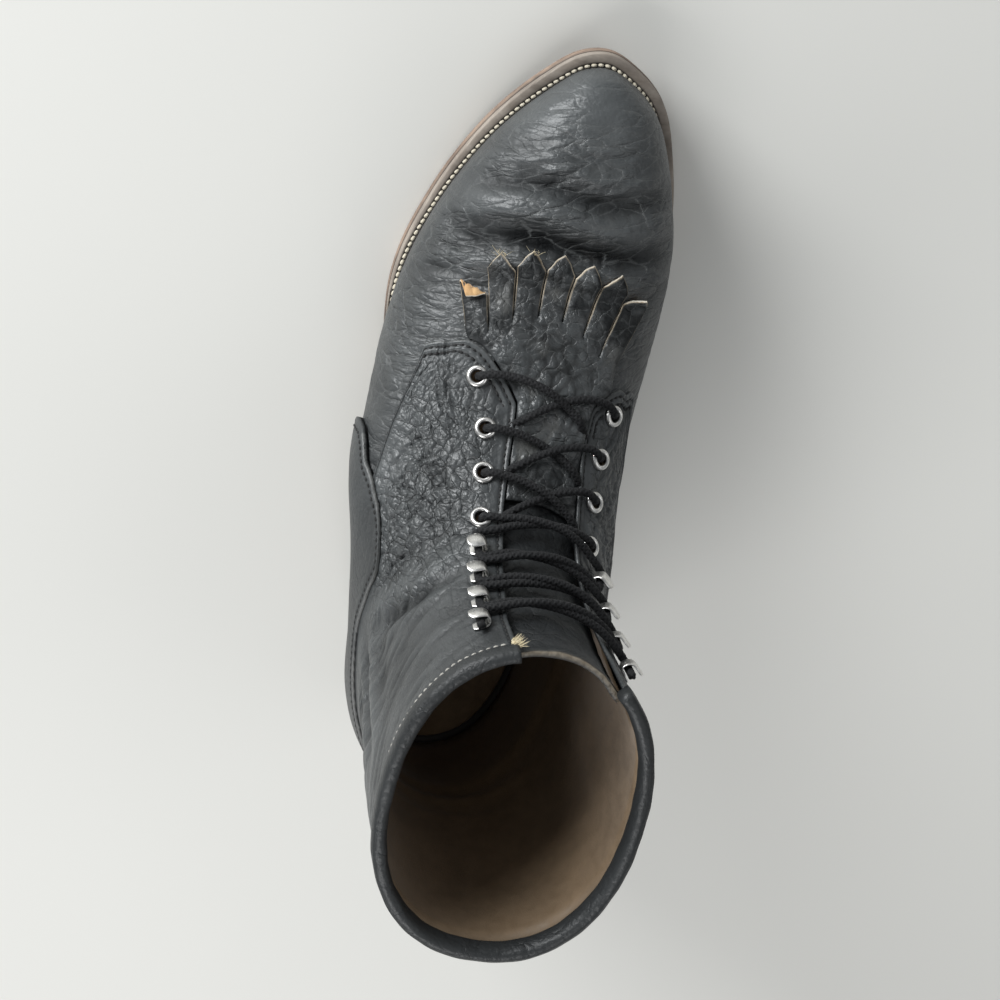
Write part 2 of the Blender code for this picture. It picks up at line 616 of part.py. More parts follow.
def build_collar():
    """Rolled binding that stands on the upper's top edge, from one facing round the back to the other."""
    start = facing_edge(1, UPPER_TOP)
    end = 2 + facing_edge(-1, UPPER_TOP)
    s = np.linspace(start, end, BINDING_STATIONS)
    s = np.where(s > 1, s - 2, s)
    low = UPPER_TOP + GAP / FLAT[1]
    section = list(zip(BINDING["lift"], low + (1 - low) * BINDING["rise"]))
    n, k = len(s), len(section)
    verts = np.stack([on_upper(s, np.full(n, t), np.full(n, lift)) for lift, t in section], 1).reshape(-1, 3)
    faces = [tuple(range(k)), tuple((n - 1) * k + i for i in range(k))[::-1]]
    for i in range(n - 1):
        for j in range(k):
            m = (j + 1) % k
            faces.append((i * k + j, (i + 1) * k + j, (i + 1) * k + m, i * k + m))
    add("collar_binding", verts, faces, LEATHER)


def build_tongue():
    t = np.linspace(TONGUE_FOOT, TONGUE_TOP, 18)
    u = np.linspace(-1, 1, 8)
    s = lacing("centre", t)[:, None] + u[None, :] * (lacing("gap", t)[:, None] + TONGUE_TUCK)
    points = np.stack([s, np.broadcast_to(t[:, None], s.shape)], -1).reshape(-1, 2)
    k = len(u)
    tris = []
    for i in range(len(t) - 1):
        for j in range(k - 1):
            a = i * k + j
            tris += [(a, a + 1, a + k + 1), (a, a + k + 1, a + k)]
    high = np.full(len(points), -WALL - TONGUE_CLEAR)
    add("tongue", *shell(points, np.array(tris), high - TONGUE_THICK, high), LEATHER)


KILTIE_PIVOT = (110.0, -0.5)
KILTIE_TABS = rows(
    "angle tip curl",
    (-16.65, 113.5, 0.5), (-11.1, 118, 0.3), (-5.55, 118.5, 0.2), (0, 119.6, 0.2), (5.55, 119.3, 0.3),
    (11.1, 116.5, 0.4), (16.65, 107, 2.5))
TAB_STEP = 5.55
TAB_POINT = 5.0
SLIT_HALF = 0.28
SLIT_ROOT = 97.0
SLIT_ROOT_FALL = 8.0
KILTIE_EDGE_CLEAR = 1.4
KILTIE_THROAT_CLEAR = 0.0045
KILTIE_CORNER_CLEAR = 0.004
KILTIE_FOOT = QUARTER_EDGE["t"][0] + 0.012
KILTIE_TOP = 0.665
KILTIE_LINE = 6.0
KILTIE_SINK = rows("start run depth", (QUARTER_EDGE["t"][0] + 0.01, 0.05, KILTIE_CLEAR + 1.7))
KILTIE_CURL = rows("start run outer", (0.36, 0.16, 0.15))
KILTIE_FILL = rows(
    "reach reach_end reach_step angle angle_step t t_step clear",
    (68, 96, 9, 18, 4.5, 0.5, 0.025, 3))


def fan(angle, reach):
    a = np.radians(angle)
    return from_plan(KILTIE_PIVOT[0] + reach * np.cos(a), KILTIE_PIVOT[1] + reach * np.sin(a))


def kiltie_outline():
    """Fringe from the inner to the outer side, then back along the quarters and up the throat."""
    fringe = []
    for k, (angle, tip) in enumerate(zip(KILTIE_TABS["angle"], KILTIE_TABS["tip"])):
        half = TAB_STEP / 2 - SLIT_HALF
        root = SLIT_ROOT - SLIT_ROOT_FALL * (abs(angle) / KILTIE_TABS["angle"][-1]) ** 2
        fringe += [(angle - half, root), (angle - half, (root + tip - TAB_POINT) / 2),
                   (angle - half, tip - TAB_POINT), (angle, tip), (angle + half, tip - TAB_POINT),
                   (angle + half, (root + tip - TAB_POINT) / 2), (angle + half, root)]
    fringe = fan(*np.array(fringe).T)
    sides = []
    for side in (1, -1):
        edge = spaced(table_line(QUARTER_EDGE, side)[:5], KILTIE_LINE)
        way = np.gradient(edge, axis=0) * FLAT
        ahead = np.stack([way[:, 1], -way[:, 0]], 1) / np.linalg.norm(way, axis=1, keepdims=True) * side
        edge = edge + ahead * KILTIE_EDGE_CLEAR / FLAT
        limit = abs(fringe[-1 if side > 0 else 0, 0])
        edge = edge[np.abs(edge[:, 0]) < limit - KILTIE_CORNER_CLEAR]
        t = np.linspace(KILTIE_FOOT, KILTIE_TOP, 8)
        throat = np.stack([facing_edge(side, t) - side * KILTIE_THROAT_CLEAR, t], 1)
        sides.append(np.concatenate([edge[::-1], throat]))
    top = spaced([sides[0][-1], sides[1][-1]])[1:-1]
    return np.concatenate([fringe, sides[0], top, sides[1][::-1]])


def kiltie_sink(points):
    """The flap lies on the vamp, and sinks between the facings behind its edge."""
    u = np.clip((points[:, 1] - KILTIE_SINK["start"]) / KILTIE_SINK["run"], 0, 1)
    return -KILTIE_SINK["depth"] * u * u * (3 - 2 * u)


def build_kiltie():
    loop = kiltie_outline()
    step = {name: float(value[0]) for name, value in KILTIE_FILL.items()}
    fill = []
    for reach in np.arange(step["reach"], step["reach_end"], step["reach_step"]):
        angles = np.arange(-step["angle"], step["angle"] + 0.1, step["angle_step"])
        fill.append(fan(angles, np.full(len(angles), reach)))
    for t in np.arange(step["t"], KILTIE_TOP - 0.01, step["t_step"]):
        s = lacing("centre", t) + lacing("gap", t) * np.array([-0.5, 0, 0.5])
        fill.append(np.stack([s, np.full(len(s), t)], 1))
    fill = np.concatenate(fill)
    ring = np.concatenate([loop, loop[:1]])
    fill = fill[inside(fill, loop) & (np.abs(distance(fill, ring)) > step["clear"])]
    points, tris = triangulate(fill, [ring])
    tris = tris[inside(points[tris].mean(1), loop)]
    low = KILTIE_CLEAR + kiltie_sink(points)
    tip = np.clip((KILTIE_CURL["start"] - points[:, 1]) / KILTIE_CURL["run"], 0, 1)
    outer = points[:, 0] > KILTIE_CURL["outer"]
    low = low + tip * np.where(outer, KILTIE_TABS["curl"][-1], KILTIE_TABS["curl"][0])
    add("kiltie", *shell(points, tris, low, low + KILTIE_THICK), LEATHER)


# Eyelets, hooks and laces

def seat(row, side):
    """Centre, outward side direction, upward direction and normal at an eyelet or hook."""
    s, t = seat_place(row, side)
    d = 0.004
    across = on_upper(s + d, t) - on_upper(s - d, t)
    across /= np.linalg.norm(across)
    normal = look_up(NORMAL, s, t)
    normal /= np.linalg.norm(normal)
    up = np.cross(normal, across)
    return on_upper(s, t, STEP + SEAT_CLEAR), across * side, up, normal


EYELET_PROFILE = rows(
    "radius high",
    (EYELET_HOLE, 0.0), (EYELET_OUT, 0.0), (EYELET_OUT - 0.4, 0.9), (EYELET_HOLE + 0.5, EYELET_HIGH))


def build_eyelets():
    profile = list(zip(EYELET_PROFILE["radius"], EYELET_PROFILE["high"]))
    n, k = EYELET_SIDES, len(profile)
    turn = np.linspace(0, 2 * np.pi, n, endpoint=False)
    for row in range(EYELET_ROWS):
        for side, word in ((1, "outer"), (-1, "inner")):
            at, across, up, normal = seat(row, side)
            across = across * side
            verts = [at + r * (math.cos(a) * across + math.sin(a) * up) + h * normal
                     for a in turn for r, h in profile]
            faces = [(i * k + j, ((i + 1) % n) * k + j, ((i + 1) % n) * k + (j + 1) % k, i * k + (j + 1) % k)
                     for i in range(n) for j in range(k)]
            add(f"eyelet_{word}_{row + 1}", verts, faces, STEEL)


HOOK_PROFILE = rows(
    "out high",
    (3.2, 0.0), (3.2, 0.7), (-1.9, 0.7), (-2.6, 1.4), (-2.8, 2.6), (-2.6, 4.1), (-1.8, 4.7), (2.6, 5.1),
    (3.6, 5.6), (3.4, 6.2), (2.4, 6.0), (-2.1, 5.6), (-3.4, 4.7), (-3.7, 2.6), (-3.4, 0.6), (-2.6, 0.0))
HOOK_HALF = 2.9


def build_hooks():
    p, h = HOOK_PROFILE["out"], HOOK_PROFILE["high"]
    n = len(p)
    for row in range(EYELET_ROWS, len(LACING["t"])):
        for side, word in ((1, "outer"), (-1, "inner")):
            at, across, up, normal = seat(row, side)
            verts = [at + a * across + b * normal + w * HOOK_HALF * up
                     for w in (-1, 1) for a, b in zip(p, h)]
            faces = [tuple(range(n)), tuple(range(n, 2 * n))[::-1]]
            faces += [(i + n, (i + 1) % n + n, (i + 1) % n, i) for i in range(n)]
            if side < 0:
                faces = [f[::-1] for f in faces]
            add(f"hook_{word}_{row - EYELET_ROWS + 1}", verts, faces, STEEL)


EYELET_CLEAR = 6.4
HOOK_CLEAR = HOOK_HALF + LACE_RADIUS + 0.6
FACING_CLEAR = 2.2
LACE_ON_FACING = STEP + LACE_RADIUS + 1.0
LACE_OVER = 1.9
LACE_DIP = 0.3
HOOK_CHANNEL = (0.7, 2.6)
EYELET_LEAD = 2.4
HOOK_LEAD = 2.0
LACE_AIR = 0.1


def lace_rest(t):
    """Lowest height of a lace's middle on the flap."""
    flap = KILTIE_CLEAR + KILTIE_THICK + kiltie_sink(np.stack([t, t], -1))
    return flap + GAP + LACE_RADIUS + LACE_AIR


def eyelet_strand(row, side, over):
    """A lace out of an eyelet, over the flap, to the next row's facing on the other side."""
    start = local_move(*seat_place(row, side), -side * EYELET_CLEAR, EYELET_LEAD)
    after = seat_place(row + 1, -side)[1]
    end = local_move(facing_edge(-side, after), after, side * FACING_CLEAR, 0.0)
    u = np.linspace(0, 1, 9)
    s, t = (start[k] + (end[k] - start[k]) * u for k in (0, 1))
    rest = lace_rest(t)
    middle = rest[4] + (LACE_OVER if over else 0.0)
    lift = smooth(np.array([0, 0.5, 1]), np.array([LACE_ON_FACING, middle, 0]), u)
    return on_upper(s, t, np.maximum(lift, rest))


def hooked_strand(side):
    """A lace from the last eyelet through a hook of each row above it, changing sides."""
    path = []
    here = local_move(*seat_place(EYELET_ROWS - 1, side), -side * EYELET_CLEAR, EYELET_LEAD)
    for row in range(EYELET_ROWS, len(LACING["t"])):
        over = (row % 2 == 0) == (side > 0)
        side = -side
        end = local_move(*seat_place(row, side), -side * HOOK_LEAD, -HOOK_CLEAR)
        u = np.linspace(0, 1, 8)[:-1] if row == EYELET_ROWS else np.linspace(0, 1, 8)[1:-1]
        s, t = (here[k] + (end[k] - here[k]) * u for k in (0, 1))
        cross = LACE_ON_FACING - LACE_DIP + (LACE_OVER if over else 0.0)
        lift = smooth(np.array([0, 0.5, 1]), np.array([LACE_ON_FACING, cross, LACE_ON_FACING]), u)
        path.append(on_upper(s, t, lift))
        at, across, up, normal = seat(row, side)
        centre = at + HOOK_CHANNEL[0] * across + HOOK_CHANNEL[1] * normal
        path.append(centre + np.array([[-1], [0], [1]]) * HOOK_CLEAR * up)
        here = local_move(*seat_place(row, side), -side * HOOK_LEAD, HOOK_CLEAR)
    return np.concatenate(path)


FRONT_OF_EYELETS = 0.6
FRONT_OF_HOOKS = 0.8


def build_laces():
    pairs = [(f"cross_{row + 1}", eyelet_strand(row, 1, row % 2 == 0), eyelet_strand(row, -1, row % 2 == 1))
             for row in range(EYELET_ROWS - 1)]
    pairs.append(("hooked", hooked_strand(1), hooked_strand(-1)))
    for name, one, two in pairs:
        front = look_up(NORMAL, 0.0, FRONT_OF_HOOKS if name == "hooked" else FRONT_OF_EYELETS)
        add(f"lace_{name}", *tube(one, LACE_RADIUS, normal=front), CORD)
        add(f"under_{name}", *tube(two, LACE_RADIUS, normal=front), CORD)


def material(spec):
    name, colour, rough, metal = spec
    found = bpy.data.materials.get(name)
    if found:
        return found
    made = bpy.data.materials.new(name)
    made.use_nodes = True
    shader = made.node_tree.nodes["Principled BSDF"]
    shader.inputs["Base Color"].default_value = (*colour, 1.0)
    shader.inputs["Roughness"].default_value = rough
    shader.inputs["Metallic"].default_value = metal
    made.diffuse_color = (*colour, 1.0)
    return made


def place():
    objects = {}
    for name, verts, faces, spec, smooth_shade in PARTS:
        mesh = bpy.data.meshes.new(name)
        mesh.from_pydata([tuple(v) for v in (verts - np.array(ORIGIN)) * MM], [], faces)
        mesh.validate()
        mesh.materials.append(material(spec))
        mesh.polygons.foreach_set("use_smooth", [smooth_shade] * len(mesh.polygons))
        made = bpy.data.objects.new(name, mesh)
        bpy.context.scene.collection.objects.link(made)
        objects[name] = made
    for name, other in objects.items():
        if name.startswith("under_"):
            other.hide_render = True
            other.display_type = "WIRE"
            join = objects[name.replace("under_", "lace_")].modifiers.new("join", "BOOLEAN")
            join.operation = "UNION"
            join.solver = "EXACT"
            join.object = other


def main():
    for old in list(bpy.data.objects):
        bpy.data.objects.remove(old, do_unlink=True)
    build_sole()
    build_heel()
    build_upper()
    build_collar()
    build_tongue()
    build_kiltie()
    build_eyelets()
    build_hooks()
    build_laces()
    place()


main()
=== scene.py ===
import math

import bpy
import numpy as np
from mathutils import Matrix, Vector
from mathutils.geometry import delaunay_2d_cdt
from mathutils.kdtree import KDTree


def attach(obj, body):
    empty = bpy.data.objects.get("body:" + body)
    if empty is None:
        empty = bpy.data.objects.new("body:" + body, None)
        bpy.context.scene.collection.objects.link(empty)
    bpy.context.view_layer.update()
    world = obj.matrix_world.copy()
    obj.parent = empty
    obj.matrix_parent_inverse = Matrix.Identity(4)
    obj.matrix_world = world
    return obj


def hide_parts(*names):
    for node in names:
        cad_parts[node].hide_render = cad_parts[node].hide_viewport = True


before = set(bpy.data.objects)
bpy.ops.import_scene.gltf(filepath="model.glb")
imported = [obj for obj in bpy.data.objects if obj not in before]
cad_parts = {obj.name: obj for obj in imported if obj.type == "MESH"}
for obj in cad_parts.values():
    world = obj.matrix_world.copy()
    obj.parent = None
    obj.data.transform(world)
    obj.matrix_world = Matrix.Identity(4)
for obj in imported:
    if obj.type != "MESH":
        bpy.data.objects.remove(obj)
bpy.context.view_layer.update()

# Sizes in millimetres: x from the heel's back to the toe, y to the outer side, z up
MM = 0.001
ORIGIN = np.array([150.55, -0.25, 0.0])
OUTSOLE_THICK = 5.5
WELT_THICK = 3.2
INSOLE_THICK = 5.0
INSOLE_CLEAR = 2.1
LIFT_THICK = 6.0
HEEL_LENGTH = 86.0
HEEL_TAPER = 2.0
HEEL_INSET = 0.4
GAP = 0.3
WALL = 2.4
STEP = 1.0
COUNTER_THICK = 1.3
KILTIE_THICK = 1.6
KILTIE_CLEAR = 0.45
TONGUE_THICK = 2.0
TONGUE_CLEAR = 1.0
TONGUE_TUCK = 0.055
TONGUE_FOOT = 0.395
TONGUE_TOP = 0.967
UPPER_TOP = 0.974
THROAT_BOTTOM = 0.44
COUNTER_FOOT = 0.022
EYELET_HOLE = 2.4
SEAT_CLEAR = 0.35
LACE_RADIUS = 1.6


def rows(names, *values):
    """A short table: one array for each named column."""
    return {n: np.array(c, float) for n, c in zip(names.split(), zip(*values))}


SOLE_OUTLINE = rows(
    "along across",
    (0, 0), (9, 22), (36, 36), (115, 41), (192, 54.3), (229, 47.5), (264, 33.5), (288, 17.3), (299, 6),
    (302, -5), (297.5, -17.5), (288, -30), (270, -40), (225, -51.5), (132, -34), (36, -34.5), (9, -21))
UPPER_OUTLINE = rows(
    "along across",
    (2, 0), (10, 22.5), (36, 40), (78, 51.5), (125, 56), (192, 54), (229, 45.5), (264, 30), (286, 13.5),
    (294.5, 4.5), (297, -5), (293, -15.5), (284.5, -26.5), (268, -36.5), (224, -49.5), (130, -44),
    (36, -36.5), (10, -21))
SOLE_PROFILE = rows(
    "along bottom",
    (0, 29.5), (50, 28.8), (70, 27.8), (88, 25.5), (104, 21.6), (126, 14.6), (160, 4.2), (186, 0), (226, 0),
    (262, 3.6), (302, 12))
FEATHER = rows("along inset", (0, 2.5), (60, 2.5), (130, 2.5), (195, 4), (260, 6), (302, 7))
LEVELS = rows(
    "rise front_x front_z back_x back_z half_lat half_med leg lean",
    (0.0, 295.0, 20.0, 2.5, 38.6, 43, 43, 0.00, 0.0),
    (0.4, 297.0, 26.0, 2.0, 45.0, 43, 43, 0.00, 0.0),
    (1.0, 295.5, 33.0, 1.8, 52.0, 43, 43, 0.00, 0.0),
    (2.0, 286.0, 43.5, 2.0, 61.0, 43, 43, 0.00, 0.0),
    (3.0, 266.0, 51.0, 3.5, 69.0, 43, 43, 0.00, -0.5),
    (4.0, 240.0, 56.5, 5.5, 77.0, 43, 43, 0.05, -1.0),
    (5.0, 211.0, 63.0, 7.5, 85.0, 43, 43, 0.20, -1.5),
    (6.0, 183.0, 74.0, 9.5, 94.0, 43, 43, 0.50, -2.5),
    (7.0, 157.0, 90.0, 10.5, 104.0, 43, 43, 0.80, -3.5),
    (8.0, 138.0, 109.0, 10.5, 116.0, 43, 43, 1.00, -4.5),
    (9.0, 129.0, 132.0, 9.5, 134.0, 44, 44, 1.00, -6.0),
    (10.0, 126.0, 158.0, 7.0, 160.0, 45.5, 45.5, 1.00, -8.5),
    (11.0, 126.0, 186.0, 4.0, 191.0, 46.5, 46.5, 1.00, -11.0))
RIDGE_LINE = rows("along across", (0, 0), (110, -4), (200, -4.5), (255, -4.8), (297, -5))
SECTION = rows(
    "along belly power",
    (0, 0.32, 2.6), (60, 0.30, 2.6), (120, 0.36, 2.4), (195, 0.30, 2.35), (260, 0.25, 2.5), (297, 0.25, 2.5))
LEG_POWER = 2.25
FLAT_FADE = 4.0
SHAFT_FRONT = 131.0
SHAFT_RISE = 4.0
BACK_ZONE = 0.4
TOE_ZONE = 0.2

# Camera: the photo's angle to the boot, turned so that the toe points up
AIM = np.array([170.0, 0.0, 90.0])
CAMERA = {"azimuth": 30.136, "elevation": 66.029, "roll": 163.79, "distance": 900.0}
PHOTO_SCALE = 1.959
ZOOM = 1.36
AIM_PIXEL = (531.0, 432.0)
FRAME_PIXELS = 1000.0
SENSOR = 36.0


def camera_axes():
    a, e, r = (math.radians(CAMERA[k]) for k in ("azimuth", "elevation", "roll"))
    back = np.array([math.cos(e) * math.cos(a), math.cos(e) * math.sin(a), math.sin(e)])
    level_way = np.cross([0, 0, 1.0], back)
    level_way /= np.linalg.norm(level_way)
    rise_way = np.cross(back, level_way)
    right = level_way * math.cos(r) + rise_way * math.sin(r)
    up = -level_way * math.sin(r) + rise_way * math.cos(r)
    return right, up, back


def metres(p):
    return (np.asarray(p, float) - ORIGIN) * MM


def make_camera():
    right, up, back = camera_axes()
    data = bpy.data.cameras.new("camera")
    data.sensor_fit = "HORIZONTAL"
    data.sensor_width = SENSOR
    data.lens = SENSOR * PHOTO_SCALE * CAMERA["distance"] * ZOOM / FRAME_PIXELS
    data.shift_x = (FRAME_PIXELS / 2 - AIM_PIXEL[0]) / FRAME_PIXELS
    data.shift_y = (AIM_PIXEL[1] - FRAME_PIXELS / 2) / FRAME_PIXELS
    data.clip_start, data.clip_end = 0.05, 50.0
    made = bpy.data.objects.new("camera", data)
    bpy.context.scene.collection.objects.link(made)
    at = metres(AIM + back * CAMERA["distance"])
    made.matrix_world = Matrix((
        (right[0], up[0], back[0], at[0]), (right[1], up[1], back[1], at[1]),
        (right[2], up[2], back[2], at[2]), (0, 0, 0, 1)))
    bpy.context.scene.camera = made


make_camera()


# Form of the upper

def unit(v):
    return v / np.linalg.norm(v, axis=-1, keepdims=True)


def run_of(points):
    """Length along a line at each of its points."""
    return np.concatenate([[0], np.cumsum(np.linalg.norm(np.diff(points, axis=0), axis=1))])


def at_run(points, run, want):
    """Points of a line at wanted lengths along it."""
    return np.stack([np.interp(want, run, points[:, k]) for k in range(points.shape[1])], 1)


def cubic(a, b, span, way_a, way_b, u):
    """Curve from a to b with given directions at its ends."""
    return (a * (1 + 2 * u) * (1 - u) ** 2 + b * u * u * (3 - 2 * u)
            + span * (way_a * u * (1 - u) ** 2 - way_b * u * u * (1 - u)))


def level_rows(s, t):
    """(s, t) rows of a line that keeps one t."""
    return np.stack([s, np.full(len(s), t)], 1)


def smooth(xs, ys, x):
    """Monotone cubic through the rows of a table."""
    x = np.asarray(x, float)
    gap = np.diff(xs)
    slope = np.diff(ys) / gap
    one, two = 2 * gap[1:] + gap[:-1], gap[1:] + 2 * gap[:-1]
    rising = slope[:-1] * slope[1:] > 0
    safe = np.where(rising, slope[:-1], 1.0), np.where(rising, slope[1:], 1.0)
    inner = np.where(rising, (one + two) / (one / safe[0] + two / safe[1]), 0.0)
    tangent = np.concatenate([slope[:1], inner, slope[-1:]])
    i = np.clip(np.searchsorted(xs, x) - 1, 0, len(xs) - 2)
    u = np.clip((x - xs[i]) / gap[i], 0, 1)
    return cubic(ys[i], ys[i + 1], gap[i], tangent[i], tangent[i + 1], u)


def ease(low, high, x):
    u = np.clip((np.asarray(x, float) - low) / (high - low), 0, 1)
    return u * u * (3 - 2 * u)


def closed_curve(table, per_span=60):
    """Smooth closed outline through the rows of an outline table."""
    p = np.stack([table["along"], table["across"]], 1)
    ahead, behind = np.roll(p, -1, 0), np.roll(p, 1, 0)
    chord = np.sqrt(np.linalg.norm(ahead - p, axis=1))[:, None]
    before = np.roll(chord, 1, 0)
    tangent = ((ahead - p) / chord * before + (p - behind) / before * chord) / (chord + before)
    u = np.linspace(0, 1, per_span, endpoint=False)[None, :, None]
    p, ahead, chord, tangent = (a[:, None] for a in (p, ahead, chord, tangent))
    after = np.roll(tangent, -1, 0)
    return cubic(p, ahead, chord, tangent, after, u).reshape(-1, 2)


def inset_loop(loop, inset):
    """A clockwise outline moved inward by a distance for each point."""
    way = np.roll(loop, -1, 0) - np.roll(loop, 1, 0)
    way = unit(way)
    return loop + np.stack([way[:, 1], -way[:, 0]], 1) * np.reshape(inset, (-1, 1))


def split_sides(loop):
    """Outer and inner side of an outline, each from heel to toe."""
    loop = np.roll(loop, -np.argmin(loop[:, 0]), 0)
    toe = np.argmax(loop[:, 0])
    return loop[:toe + 1], np.concatenate([loop[toe:], loop[:1]])[::-1]


SOLE_LOOP = closed_curve(SOLE_OUTLINE)
FEATHER_LOOP = inset_loop(SOLE_LOOP, smooth(FEATHER["along"], FEATHER["inset"], SOLE_LOOP[:, 0]))
PLANS = {"upper": split_sides(closed_curve(UPPER_OUTLINE)), "feather": split_sides(FEATHER_LOOP)}


def sole_bottom(x):
    return smooth(SOLE_PROFILE["along"], SOLE_PROFILE["bottom"], x)


def feather_z(x):
    return sole_bottom(x) + OUTSOLE_THICK + WELT_THICK + 2 * GAP


def level(name, rise):
    return smooth(LEVELS["rise"], LEVELS[name], rise)


def settle(rise, x):
    """Drop of the low rings onto the curve of the sole."""
    first = {n: LEVELS[n][0] for n in ("front_x", "front_z", "back_x", "back_z")}
    base = first["back_z"] + (first["front_z"] - first["back_z"]) * (x - first["back_x"]) / (
        first["front_x"] - first["back_x"])
    return (feather_z(x) - base) * np.clip(1 - rise / FLAT_FADE, 0, 1) ** 2


RISE = np.linspace(0, LEVELS["rise"][-1], 800)
RIDGE_X = level("front_x", RISE)
RIDGE = np.stack([RIDGE_X, level("front_z", RISE) + settle(RISE, RIDGE_X)], 1)
RIDGE_RUN = run_of(RIDGE)
CROWN = RIDGE[np.argmax(RIDGE[:, 0]):]
CROWN = CROWN[CROWN[:, 0] > SHAFT_FRONT][::-1]


def roof(x):
    """Height of the ridge over the foot; behind the shaft's front it goes on steeply."""
    return np.interp(x, CROWN[:, 0], CROWN[:, 1]) + np.clip(SHAFT_FRONT - x, 0, None) * SHAFT_RISE


def half_width(plan, side, x, a, back_x, front_x, low):
    """Half width of a plan at x; the plan's ends are drawn to the ends of the ring."""
    edge = PLANS[plan][0 if side > 0 else 1]
    x = (x + (edge[0, 0] - back_x) * np.clip(1 - a / BACK_ZONE, 0, 1) ** 2
         + (edge[-1, 0] - front_x) * low * np.clip(1 - (1 - a) / TOE_ZONE, 0, 1) ** 2)
    centre = smooth(RIDGE_LINE["along"], RIDGE_LINE["across"], x)
    return np.maximum(side * (np.interp(x, edge[:, 0], edge[:, 1]) - centre), 0)


def half_ring(rise, side, a):
    """One side of the ring at a level, a from 0 at the back to 1 at the ridge."""
    front_x, front_z = level("front_x", rise), level("front_z", rise)
    back_x, back_z = level("back_x", rise), level("back_z", rise)
    x = back_x + (front_x - back_x) * a
    floor = feather_z(x)
    z = back_z + (front_z - back_z) * a + settle(rise, x)
    low = np.clip(1 - rise, 0, 1)
    wide = half_width("upper", side, x, a, back_x, front_x, low)
    narrow = half_width("feather", side, x, a, back_x, front_x, low)
    v = np.clip((z - floor) / np.maximum(roof(x) - floor, 1e-6), 0, 1)
    belly, power = (smooth(SECTION["along"], SECTION[n], x) for n in ("belly", "power"))
    under = np.clip(1 - v / belly, 0, 1) ** 2
    over = np.clip((v - belly) / (1 - belly), 0, 1)
    foot = np.where(v < belly, wide + (narrow - wide) * under, wide * (1 - over ** power) ** (1 / power))
    leg = level("half_lat" if side > 0 else "half_med", rise) * np.clip(
        1 - np.abs(2 * a - 1) ** LEG_POWER, 0, 1) ** (1 / LEG_POWER)
    share = level("leg", rise)
    centre = smooth(RIDGE_LINE["along"], RIDGE_LINE["across"], x) * (1 - share) + level("lean", rise)
    y = centre + side * ((1 - share) * foot + share * leg)
    return np.stack(np.broadcast_arrays(x, y, z), -1)


def form_grid(levels=321, across=241, fine=500):
    """The outside of the upper: rings by the ridge's own length t, each ring by its own length s."""
    t = np.linspace(0, 1, levels)
    rise = np.interp(t * RIDGE_RUN[-1], RIDGE_RUN, RISE)[:, None]
    a = 0.5 + 0.5 * np.cos(np.linspace(0, np.pi, fine))[None, :]
    want = np.linspace(0, 1, across)
    halves, lengths = [], []
    for side in (-1, 1):
        p = half_ring(rise, side, a)
        steps = np.linalg.norm(np.diff(p, axis=1), axis=2)
        run = np.concatenate([np.zeros((levels, 1)), np.cumsum(steps, 1)], 1)
        lengths.append(run[:, -1].copy())
        run /= run[:, -1:]
        even = [[np.interp(want, run[i], p[i, :, k]) for i in range(levels)] for k in range(3)]
        halves.append(np.stack(even, -1))
    grid = np.concatenate([halves[0][:, :0:-1], halves[1]], 1)
    s = np.linspace(-1, 1, grid.shape[1])
    way_s, way_t = np.gradient(grid, s, axis=1), np.gradient(grid, t, axis=0)
    way_s[:, 0] = way_s[:, -1] = way_s[:, 0] + way_s[:, -1]
    normal = np.cross(way_s, way_t)
    return grid, unit(normal), np.mean(lengths, 0)


GRID, NORMAL, HALF_RING = form_grid()
RIDGE_LENGTH = RIDGE_RUN[-1]


def wrapped(s):
    """s brought round the back line to between -1 and 1."""
    return np.where(np.abs(s) > 1, (s + 1) % 2 - 1, s)


def look_up(field, s, t):
    s, t = np.broadcast_arrays(np.asarray(s, float), np.asarray(t, float))
    s = wrapped(s)
    column = (s + 1) / 2 * (field.shape[1] - 1)
    row = np.clip(t, 0, 1) * (field.shape[0] - 1)
    i = np.clip(column.astype(int), 0, field.shape[1] - 2)
    j = np.clip(row.astype(int), 0, field.shape[0] - 2)
    u, v = (column - i)[..., None], (row - j)[..., None]
    return (field[j, i] * (1 - u) * (1 - v) + field[j, i + 1] * u * (1 - v)
            + field[j + 1, i] * (1 - u) * v + field[j + 1, i + 1] * u * v)


def normal_at(s, t):
    return unit(look_up(NORMAL, s, t))


def on_upper(s, t, lift=0.0):
    """Point of the upper's outside, lifted off it along the normal."""
    return look_up(GRID, s, t) + normal_at(s, t) * np.asarray(lift, float)[..., None]


def placed(st, lift=0.0):
    """Points of the upper at (s, t) rows."""
    return on_upper(st[:, 0], st[:, 1], lift)


def to_flat(st):
    """(s, t) on a flat chart for meshing, in millimetres along the ring and along the ridge.

    The chart is sheared on the sides of the foot, so its distances are not those on the leather."""
    ring = np.interp(st[:, 1], np.linspace(0, 1, len(HALF_RING)), HALF_RING)
    return np.stack([st[:, 0] * ring, st[:, 1] * RIDGE_LENGTH], 1)


def from_flat(uv):
    t = uv[:, 1] / RIDGE_LENGTH
    ring = np.interp(t, np.linspace(0, 1, len(HALF_RING)), HALF_RING)
    return np.stack([uv[:, 0] / ring, t], 1)


